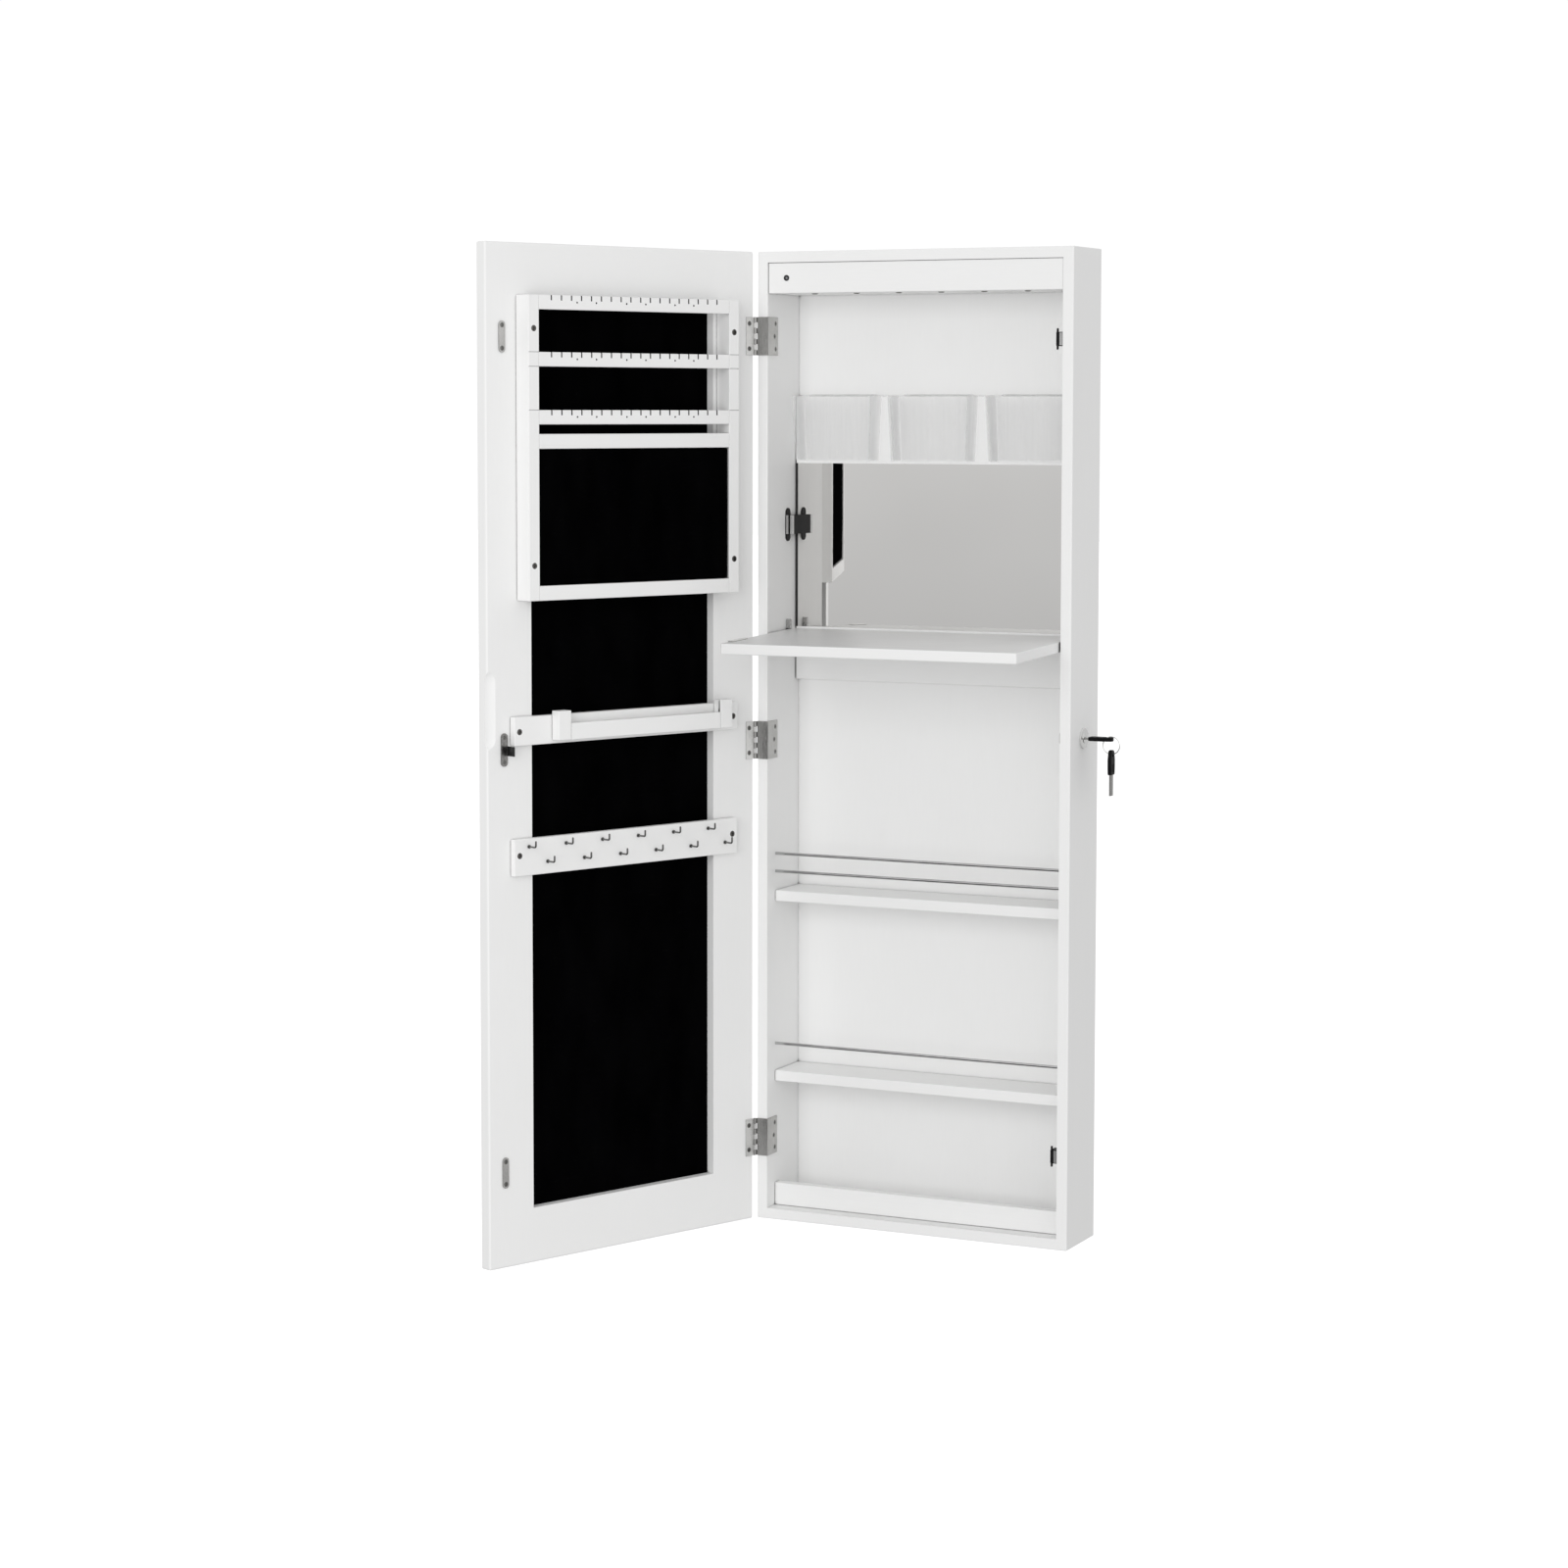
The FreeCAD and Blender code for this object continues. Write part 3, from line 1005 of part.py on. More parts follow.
blade = block("key_blade_body", ("@bow_start + 2.5 - @key_tip", "@key_wide", "@key_high"),
              ("@key_tip", "@lock_depth - @key_wide / 2", "@lock_height - @key_high / 2"))
GRIP_GROOVE = 1.1
GRIP_PITCH = 2.6
GRIP_START = 2.6
GRIP_LONG = 9.4
GRIP_DEEP = 0.45
RING_SLOT = 8.6
RING_SLOT_WIDE = 3.4


def draw_bow(name, thick):
    """A key's moulded bow along +X, flat across Z, with three grip grooves in each face."""
    body = new_body(name)
    face = sketch_on(body, "XY_Plane", f"{name}_face")
    long = dim("bow_end") - dim("bow_start")
    half = dim("bow_wide") / 2
    neck = 0.9 * half
    outline(face, [(0, -neck), (0.3 * long, -half), (0.62 * long, -half), (long, -0.6 * half),
                   (long, 0.6 * half), (0.62 * long, half), (0.3 * long, half), (0, neck)],
            {0: 1.6, 1: 4, 2: 5, 3: 3.2, 4: 3.2, 5: 5, 6: 4, 7: 1.6})
    pad(body, face, thick, f"{name}_thickness", Midplane=True)
    round_edges(body, f"{name}_eased", 1.1)
    for side, reversed_cut in ((1, False), (-1, True)):
        grip = sketch_on(body, "XY_Plane", f"{name}_grip", f"{side} * {thick} / 2")
        for across in (-1, 0, 1):
            rectangle(grip, GRIP_START, across * GRIP_PITCH - GRIP_GROOVE / 2, GRIP_LONG, GRIP_GROOVE)
        pocket(body, grip, GRIP_DEEP, f"{name}_grooves", Reversed=reversed_cut)
    return body


bow = place(draw_bow("key_bow_body", "@bow_thick"), "@bow_start", *lock_at)
bow_hole = block("key_bow_hole", (RING_SLOT, RING_SLOT_WIDE, "@bow_thick + 2"),
                 ("@ring_across - @ring_radius - 0.3", f"@lock_depth - {RING_SLOT_WIDE} / 2",
                  "@lock_height - @bow_thick / 2 - 1"))
node("key_blade", [blade])
node("key_bow", [cut("key_bow_cut", bow, [bow_hole, blade])])
ring = doc.addObject("Part::Torus", "split_ring")
ring.setExpression("Radius1", sized("@ring_radius"))
ring.setExpression("Radius2", sized("@ring_wire"))
turn(ring, (1, 0, 0), 90)
place(ring, "@ring_across", "@lock_depth", "@ring_height")
node("key_ring", [ring])
SPARE_HOLE = "(@ring_height - @ring_radius - 1.1)"
spare = draw_bow("spare_bow_body", "@bow_thick")
turn(spare, (0, 1, 0), -90)
place(spare, "@ring_across", "@lock_depth", "@spare_bow_bottom")
spare_hole = round_bar("spare_bow_hole", 2, "@bow_thick + 2",
                       ("@ring_across - @bow_thick / 2 - 1", "@lock_depth", SPARE_HOLE), "x")
spare_blade = block("spare_blade_body", ("@key_high", "@key_wide",
                                         "@spare_bow_bottom + 3 - @spare_blade_tip"),
                    ("@ring_across - @key_high / 2", "@lock_depth - @key_wide / 2",
                     "@spare_blade_tip"))
node("spare_key_blade", [spare_blade])
node("spare_key_bow", [cut("spare_bow_cut", spare, [spare_hole, spare_blade])])

# ---------------------------------------------------------------- clear boxes


def rounded_face(sketch, half_wide, deep, radius):
    """A rectangle, square at the back and rounded at the two front corners."""
    outline(sketch, [(-half_wide, 0), (half_wide, 0), (half_wide, deep), (-half_wide, deep)],
            {0: radius, 1: radius, 2: 0.8, 3: 0.8})


def draw_box():
    """A clear box with tapered sides, a rim and a lip behind that hooks into the board."""
    half = dim("box_width") / 2
    deep = dim("box_deep")
    high = dim("box_top") - dim("box_bottom")
    taper = dim("box_taper")
    wall = dim("box_wall")
    corner = dim("box_corner")
    box = new_body("box_body")
    for kind, name, grow, floor in (("PartDesign::AdditiveLoft", "outside", 0, 0),
                                    ("PartDesign::SubtractiveLoft", "inside", wall, wall)):
        faces = []
        for level, height in (("low", floor), ("high", high)):
            slope = taper * (1 - height / high)
            face = sketch_on(box, "XY_Plane", f"box_{name}_{level}")
            face.AttachmentOffset = Placement(Vector(0, slope + grow, height), Rotation())
            rounded_face(face, half - slope - grow, deep - slope - 2 * grow, corner - grow / 2)
            faces.append(face)
        loft = box.newObject(kind, f"box_{name}")
        loft.Profile = faces[0]
        loft.Sections = [faces[1]]
    lip = sketch_on(box, "YZ_Plane", "box_lip_profile")
    back = deep
    outline(lip, [(back - wall, high - 2), (back, high - 2), (back, high), (back + 4.2, high),
                  (back + 4.2, high - 6.9), (back + 4.2 + wall, high - 6.9),
                  (back + 4.2 + wall, high + wall), (back - wall, high + wall)], {6: 1.2})
    pad(box, lip, "@box_lip", "box_lip_thickness", Midplane=True)
    return box


box = draw_box()
box_front = f"{BOARD_FACE} - 0.2 - @box_deep"
box_spots = [(f"@case_width / 2 + {i} * @box_pitch", box_front, "@box_bottom") for i in (-1, 0, 1)]
for name, piece in zip(("box_left", "box_middle", "box_right"), copies("box_at", box, box_spots)):
    node(name, [piece])

# ---------------------------------------------------------------- checks and export

doc.recompute()
broken = [obj.Name for obj in doc.Objects if {"Invalid", "Error"} & set(obj.State)]
if broken:
    raise RuntimeError(f"failed objects: {broken}")
os.makedirs("parts", exist_ok=True)
for piece in nodes:
    if piece.Shape.isNull() or not piece.Shape.isValid():
        raise RuntimeError(f"{piece.Label} has no valid shape")
    piece.Shape.exportStep(f"parts/{piece.Label}.step")
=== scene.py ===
"""Looks of a wall-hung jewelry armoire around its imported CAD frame.

Metres; +X right, -Y out of the wall, +Z up; the origin is the middle of the case's back face.
"""
import json
import math

import bmesh
import bpy
from mathutils import Matrix, Vector, noise


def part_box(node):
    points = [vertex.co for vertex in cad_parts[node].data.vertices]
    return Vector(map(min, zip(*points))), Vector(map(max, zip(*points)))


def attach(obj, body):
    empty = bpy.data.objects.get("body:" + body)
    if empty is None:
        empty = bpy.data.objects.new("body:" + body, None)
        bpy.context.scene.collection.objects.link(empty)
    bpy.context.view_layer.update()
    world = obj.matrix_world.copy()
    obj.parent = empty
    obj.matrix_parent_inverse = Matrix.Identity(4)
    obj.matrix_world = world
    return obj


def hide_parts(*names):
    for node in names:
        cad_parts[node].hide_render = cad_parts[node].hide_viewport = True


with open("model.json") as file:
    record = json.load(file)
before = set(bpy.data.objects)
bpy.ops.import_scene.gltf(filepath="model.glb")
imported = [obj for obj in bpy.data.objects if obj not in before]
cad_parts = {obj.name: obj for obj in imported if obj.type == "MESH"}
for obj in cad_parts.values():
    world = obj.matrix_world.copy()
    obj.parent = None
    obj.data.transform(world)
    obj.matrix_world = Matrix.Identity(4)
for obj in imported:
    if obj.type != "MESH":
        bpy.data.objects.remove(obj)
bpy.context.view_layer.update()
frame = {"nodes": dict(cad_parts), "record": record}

scene = bpy.context.scene

# ---------------------------------------------------------------- camera

CAMERA_AT = (1.5566, -3.6367, 0.3667)
CAMERA_DEGREES = (85.508, -0.0766, 25.705)
CAMERA_SENSOR_MM = 36.0
CAMERA_LENS_MM = 81.9
CAMERA_SHIFT = -0.06
CAMERA_FAR = 60.0

camera = bpy.data.objects.new("camera", bpy.data.cameras.new("camera"))
scene.collection.objects.link(camera)
camera.location = CAMERA_AT
camera.rotation_euler = [math.radians(angle) for angle in CAMERA_DEGREES]
camera.data.sensor_width = CAMERA_SENSOR_MM
camera.data.lens = CAMERA_LENS_MM
camera.data.shift_y = CAMERA_SHIFT
camera.data.clip_end = CAMERA_FAR
scene.camera = camera

# ---------------------------------------------------------------- node tree helpers

MIDDLE_SPAN = (0.3, 0.7)    # the part of a noise's 0 to 1 range that holds most of its values
# painted shade: how ambient occlusion darkens colours in slots, seams and corners
CREVICE_SHADE_SPAN = (0.12, 0.55)
CREVICE_SHADE_SAMPLES = 6


class Nodes:
    """A small builder for one node tree, by default that of a new material."""

    def __init__(self, name):
        self.material = bpy.data.materials.new(name)
        self.material.use_nodes = True
        self.tree = self.material.node_tree
        self.shader = self.tree.nodes["Principled BSDF"]

    def feed(self, socket, value):
        """Sets a socket to a value, or links another node's output to it."""
        if isinstance(value, bpy.types.NodeSocket):
            self.tree.links.new(value, socket)
        else:
            socket.default_value = value

    def add(self, kind, **inputs):
        """Adds a node and fills its inputs, whose names have _ for a space."""
        node = self.tree.nodes.new("ShaderNode" + kind)
        for name, value in inputs.items():
            self.feed(node.inputs[name.replace("_", " ")], value)
        return node

    def set(self, **values):
        """Fills the shader's own sockets, whose names have _ for a space."""
        for name, value in values.items():
            self.feed(self.shader.inputs[name.replace("_", " ")], value)

    def coordinate(self, kind):
        return self.add("TexCoord").outputs[kind]

    def noise(self, scale, stretch=(1, 1, 1), detail=3.0, rough=0.5):
        """Noise over object coordinates in metres, which are stretched first."""
        mapping = self.add("Mapping", Vector=self.coordinate("Object"), Scale=stretch)
        node = self.add("TexNoise", Vector=mapping.outputs["Vector"], Scale=scale, Detail=detail,
                        Roughness=rough)
        return node.outputs["Fac"]

    def spread(self, value, low, high, span=MIDDLE_SPAN):
        """Maps a span of a value onto a range."""
        node = self.add("MapRange", Value=value, From_Min=span[0], From_Max=span[1],
                        To_Min=low, To_Max=high)
        return node.outputs["Result"]

    def ramp(self, value, low, high, span=MIDDLE_SPAN):
        """Maps a span of a value onto the colours between two."""
        node = self.add("ValToRGB", Fac=value)
        for element, position, colour in zip(node.color_ramp.elements, span, (low, high)):
            element.position = position
            element.color = (*colour, 1)
        return node.outputs["Color"]

    def blend(self, fac, first, second, kind="MIX"):
        """Mixes two colours."""
        node = self.add("Mix")
        node.data_type = "RGBA"
        node.blend_type = kind
        for index, value in ((0, fac), (6, first), (7, second)):
            self.feed(node.inputs[index], value)
        return node.outputs[2]

    def plus(self, first, second, kind="ADD"):
        """Adds two values, or does another operation of the Math node on them."""
        node = self.add("Math")
        node.operation = kind
        for index, value in enumerate((first, second)):
            self.feed(node.inputs[index], value)
        return node.outputs[0]

    def dot(self, vector, direction):
        node = self.add("VectorMath")
        node.operation = "DOT_PRODUCT"
        self.feed(node.inputs[0], vector)
        self.feed(node.inputs[1], direction)
        return node.outputs["Value"]

    def along(self, direction, start):
        """How far a point lies along a direction, past a start, in metres."""
        return self.plus(self.dot(self.coordinate("Object"), direction), start, "SUBTRACT")

    def away(self, direction, middle):
        """The same, as a distance to either side."""
        return self.plus(self.along(direction, middle), 0.0, "ABSOLUTE")

    def faces_along(self, direction, least=0.7, both_ways=True):
        """1 on faces that look along a direction in the node's own frame, either way or one way."""
        along = self.dot(self.coordinate("Normal"), direction)
        if both_ways:
            along = self.plus(along, 0.0, "ABSOLUTE")
        return self.plus(along, least, "GREATER_THAN")

    def below(self, value, limit):
        """1 where a value is under a limit."""
        return self.plus(value, limit, "LESS_THAN")

    def with_painted_shade(self, colour, reach, darkest_shade, alone=False):
        """A colour with painted shade: ambient occlusion darkens it in slots, seams and corners, of the
        piece alone or of all.
        """
        node = self.add("AmbientOcclusion", Distance=reach)
        node.samples = CREVICE_SHADE_SAMPLES
        node.only_local = alone
        shade = self.spread(node.outputs["AO"], darkest_shade, 1.0, CREVICE_SHADE_SPAN)
        return self.blend(1.0, colour, shade, "MULTIPLY")

    def bump(self, height, strength, distance):
        node = self.add("Bump", Height=height, Strength=strength, Distance=distance)
        self.feed(self.shader.inputs["Normal"], node.outputs["Normal"])


# ---------------------------------------------------------------- the door's own space

DOOR_OPEN = math.radians(112)
BETWEEN_STRIPS = 0.02    # levels further apart than this belong to two earring strips

joints = {joint["name"]: joint for joint in frame["record"]["behaviour"]["joints"]}
HINGE = Vector(joints["door_swing"]["pos_m"])
TO_SHUT = Matrix.Translation(HINGE) @ Matrix.Rotation(DOOR_OPEN, 4, "Z") @ Matrix.Translation(-HINGE)
TO_OPEN = TO_SHUT.inverted()
INTO_CASE = TO_OPEN.to_3x3() @ Vector((0, 1, 0))
ALONG_DOOR = TO_OPEN.to_3x3() @ Vector((1, 0, 0))


def shut_box(name):
    """Lowest and highest corners of a door node as if the door were shut."""
    points = [TO_SHUT @ vertex.co for vertex in frame["nodes"][name].data.vertices]
    return (Vector([min(p[i] for p in points) for i in range(3)]),
            Vector([max(p[i] for p in points) for i in range(3)]))


def lap_heights():
    """Where the middle and lower earring strips lap over the organiser's sides."""
    levels = sorted({round(v.co.z, 4) for v in frame["nodes"]["earring_strips"].data.vertices})
    strips = [[levels[0]]]
    for level in levels[1:]:
        if level - strips[-1][-1] > BETWEEN_STRIPS:
            strips.append([])
        strips[-1].append(level)
    return [strips[0][-1], strips[1][0], strips[1][-1]]


# ---------------------------------------------------------------- paint

PAINT_TONES = ((0.905, 0.905, 0.90), (0.93, 0.93, 0.927))
# painted shade: the tray's upward face is painted darker than the rest of the paint
TRAY_TOP_SHADE_TONES = ((0.70, 0.70, 0.697), (0.78, 0.78, 0.777))
# painted shade: the walls of the earring strips' slots and holes are painted near black
CUT_SHADE_TONES = ((0.012, 0.012, 0.012), (0.02, 0.02, 0.02))
# painted shade: grey lines on the organiser's sides where the earring strips lap over them
LAP_SHADE_TONES = ((0.36, 0.36, 0.36), (0.44, 0.44, 0.44))
PAINT_ROUGH = (0.46, 0.38)
GRAIN_ACROSS = 150.0
GRAIN_ALONG = 5.0
# painted shade in the seams, slots and corners of the painted boards
SEAM_SHADE_REACH = 0.005
SEAM_SHADE_DEEPEST = 0.03
LAP_SHADE_HALF_WIDTH = 0.0004
STRIP_END = 0.003    # at a strip's two ends its faces are outside ones, not the walls of its cuts
CUT_FACING = 0.15


def paint(name, grain_axis, gloss=0.0, alone=False, shaded_top_tones=None, cuts=False, lap_shade_heights=()):
    """Satin white paint over fine board; its faint brush grain runs along one axis."""
    made = Nodes(name)
    stretch = [GRAIN_ACROSS] * 3
    stretch["xyz".index(grain_axis)] = GRAIN_ALONG
    grain = made.noise(6.0, stretch, 4.0, 0.6)
    cloud = made.noise(9.0, detail=2.0)
    peel = made.noise(1100.0, detail=1.0)
    tone = made.plus(made.plus(grain, 0.55, "MULTIPLY"), made.plus(cloud, 0.45, "MULTIPLY"))
    colour = made.ramp(tone, *PAINT_TONES)
    # painted shade: faces that look up get the darker top tones
    if shaded_top_tones:
        upward = made.faces_along((0, 0, 1), both_ways=False)
        colour = made.blend(upward, colour, made.ramp(tone, *shaded_top_tones))
    # painted shade: slot and hole walls turn near black
    if cuts:
        colour = made.blend(cut_walls(made), colour, made.ramp(tone, *CUT_SHADE_TONES))
    # painted shade: grey lines at the strips' edges on the sides' front faces
    if lap_shade_heights:
        lines = [made.below(made.away((0, 0, 1), height), LAP_SHADE_HALF_WIDTH) for height in lap_shade_heights]
        lap_shade = lines[0]
        for line in lines[1:]:
            lap_shade = made.plus(lap_shade, line, "MAXIMUM")
        lap_shade = made.plus(lap_shade, made.faces_along(INTO_CASE), "MULTIPLY")
        colour = made.blend(lap_shade, colour, made.ramp(tone, *LAP_SHADE_TONES))
    # painted shade: the paint darkens in its seams, slots and corners
    made.set(Base_Color=made.with_painted_shade(colour, SEAM_SHADE_REACH, SEAM_SHADE_DEEPEST, alone=alone),
             Roughness=made.spread(tone, *[rough - gloss for rough in PAINT_ROUGH]),
             Specular_IOR_Level=0.35)
    made.bump(made.plus(grain, made.plus(peel, 0.5, "MULTIPLY")), 0.12, 0.00012)
    return made.material


def cut_walls(made):
    """1 on the walls of the slots and holes in the earring strips, where shade is painted."""
    low, high = shut_box("earring_strips")
    middle = TO_OPEN @ (0.5 * (low + high))
    from_middle = made.away(ALONG_DOOR, middle.dot(ALONG_DOOR))
    inside = made.below(from_middle, 0.5 * (high.x - low.x) - STRIP_END)
    return made.plus(made.faces_along(ALONG_DOOR, CUT_FACING), inside, "MULTIPLY")


# ---------------------------------------------------------------- metal, plastic, velvet and glass

STREAK = 0.35    # how far a metal's roughness strays, as a share of it
SEAM_SHADE_BAND = 0.0022
LET_THROUGH = 0.08
SENSOR_LENS = 0.0013
STRIKE_PLATE = 0.0016


def metal(name, colour, rough, along=None, reach=0.002, darkest_shade=0.05):
    """Bare or plated metal, brushed along an axis or even, with painted shade in its recesses."""
    made = Nodes(name)
    stretch = [1.0, 1.0, 1.0]
    if along:
        stretch = [40.0, 40.0, 40.0]
        stretch["xyz".index(along)] = 1.0
    fine = made.noise(60.0 if along else 500.0, stretch, 3.0)
    cloud = made.noise(45.0)
    dark = tuple(0.82 * c for c in colour)
    made.set(Metallic=1.0, Base_Color=made.with_painted_shade(made.ramp(cloud, dark, colour), reach, darkest_shade),
             Roughness=made.spread(fine, rough * (1 - STREAK), rough * (1 + STREAK)))
    made.bump(fine, 0.08, 0.0001)
    return made.material


def plastic(name, colour, rough, shine=0.5):
    """Moulded plastic with a fine grit."""
    made = Nodes(name)
    cloud = made.noise(60.0)
    grit = made.noise(1400.0, detail=2.0)
    light = tuple(min(1.0, 1.25 * c + 0.004) for c in colour)
    made.set(Base_Color=made.ramp(cloud, colour, light), Roughness=made.spread(grit, rough, rough + 0.14),
             Specular_IOR_Level=shine)
    made.bump(grit, 0.12, 0.00012)
    return made.material


def velvet(name):
    """Black flocking: almost no light back, and a faint nap that lies in patches."""
    made = Nodes(name)
    nap = made.noise(30.0, (1, 1, 0.45), 3.0)
    pile = made.noise(1800.0, detail=2.0)
    made.set(Base_Color=made.ramp(nap, (0.0006, 0.0006, 0.0007), (0.0016, 0.0016, 0.0018)),
             Roughness=made.spread(pile, 0.9, 1.0), Specular_IOR_Level=0.0,
             Sheen_Weight=0.003, Sheen_Roughness=0.4, Sheen_Tint=(0.6, 0.6, 0.65, 1))
    made.bump(made.plus(pile, made.plus(nap, 0.6, "MULTIPLY")), 0.4, 0.0003)
    return made.material


def mirror(name, seam_shaded_node=None):
    """Silvered glass. For the node named by the last argument, a black line is painted at both sides:
    painted shade for the dark seams there.
    """
    made = Nodes(name)
    wave = made.noise(6.0, detail=1.0)
    colour = made.ramp(wave, (0.865, 0.855, 0.84), (0.90, 0.89, 0.875))
    metallic = 1.0
    if seam_shaded_node:
        low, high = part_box(seam_shaded_node)
        middle = 0.5 * (low[0] + high[0])
        half = 0.5 * (high[0] - low[0])
        # painted shade: a black band at each side of the mirror for its dark seams
        inside = made.below(made.away((1, 0, 0), middle), half - SEAM_SHADE_BAND)
        colour = made.blend(inside, (0.008, 0.008, 0.008, 1), colour)
        metallic = inside
    made.set(Metallic=metallic, Base_Color=colour, Roughness=made.spread(wave, 0.006, 0.014),
             Coat_Weight=0.6, Coat_Roughness=0.01)
    made.bump(wave, 0.015, 0.0004)
    return made.material


def clear_plastic(name):
    """Moulded clear plastic: barely there square on, white where a wall is seen along its length as a
    painted reflection, with a grey rim painted at the most grazing angles for refraction.
    """
    made = Nodes(name)
    ripple = made.noise(30.0, (1, 1, 0.1), 2.0)
    streak = made.noise(70.0, (1, 1, 0.02), 2.0)
    facing = made.add("LayerWeight", Blend=0.5).outputs["Facing"]
    solid = made.spread(made.plus(facing, 1.7, "POWER"), 0.02, 1.0, (0.02, 0.85))
    solid = made.plus(solid, made.spread(streak, 0.0, 0.07, (0.45, 0.75)))
    level = made.plus(made.faces_along((0, 0, 1)), 0.55, "MULTIPLY")
    path = made.add("LightPath").outputs
    carried = made.plus(path["Is Shadow Ray"], path["Is Diffuse Ray"], "MAXIMUM")
    seen = made.spread(carried, 1.0, LET_THROUGH, (0.0, 1.0))
    body = made.ramp(streak, (0.90, 0.905, 0.91), (1, 1, 1))
    # painted refraction shade: the colour turns grey where a wall is seen most nearly edge on
    rim = made.ramp(facing, (1, 1, 1), (0.34, 0.35, 0.36), (0.72, 0.92))
    made.set(Base_Color=made.blend(1.0, rim, body, "MULTIPLY"),
             Roughness=made.spread(ripple, 0.03, 0.08), IOR=1.49,
             Alpha=made.plus(made.plus(solid, level, "MAXIMUM"), seen, "MULTIPLY"))
    made.bump(ripple, 0.06, 0.0006)
    return made.material


def lens(name):
    """Lamp lenses, grey under a glossy coat while the lamps are off."""
    made = Nodes(name)
    cloud = made.noise(300.0)
    made.set(Base_Color=made.ramp(cloud, (0.07, 0.07, 0.065), (0.14, 0.135, 0.12)),
             Roughness=made.spread(cloud, 0.08, 0.18), Coat_Weight=1.0, Coat_Roughness=0.03)
    made.bump(cloud, 0.05, 0.0001)
    return made.material


def sensor(name):
    """A black bezel round a grey lens."""
    made = Nodes(name)
    low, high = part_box("light_sensor")
    middle = [0.5 * (low[i] + high[i]) for i in range(3)]
    reach = made.plus(made.plus(made.away((1, 0, 0), middle[0]), 2.0, "POWER"),
                      made.plus(made.away((0, 0, 1), middle[2]), 2.0, "POWER"))
    in_lens = made.below(made.plus(reach, 0.5, "POWER"), SENSOR_LENS)
    grit = made.noise(900.0)
    made.set(Base_Color=made.blend(in_lens, (0.004, 0.004, 0.0045, 1),
                                   made.ramp(grit, (0.16, 0.16, 0.17), (0.26, 0.26, 0.27))),
             Roughness=made.spread(grit, 0.2, 0.34), Coat_Weight=0.4, Coat_Roughness=0.05)
    return made.material


def lock_strike(name):
    """A dark nickel plate with a near-black tab and lip standing off it."""
    made = Nodes(name)
    face = INTO_CASE.dot(TO_OPEN @ shut_box("lock_strike")[0])
    plate = made.below(made.along(INTO_CASE, face), STRIKE_PLATE)
    fine = made.noise(400.0)
    made.set(Metallic=made.spread(plate, 0.3, 1.0, (0.0, 1.0)), Roughness=made.spread(fine, 0.28, 0.42),
             Base_Color=made.blend(plate, (0.010, 0.010, 0.010, 1),
                                   made.ramp(fine, (0.20, 0.195, 0.19), (0.34, 0.335, 0.33))))
    made.bump(fine, 0.2, 0.0002)
    return made.material


# ---------------------------------------------------------------- what each node is made of

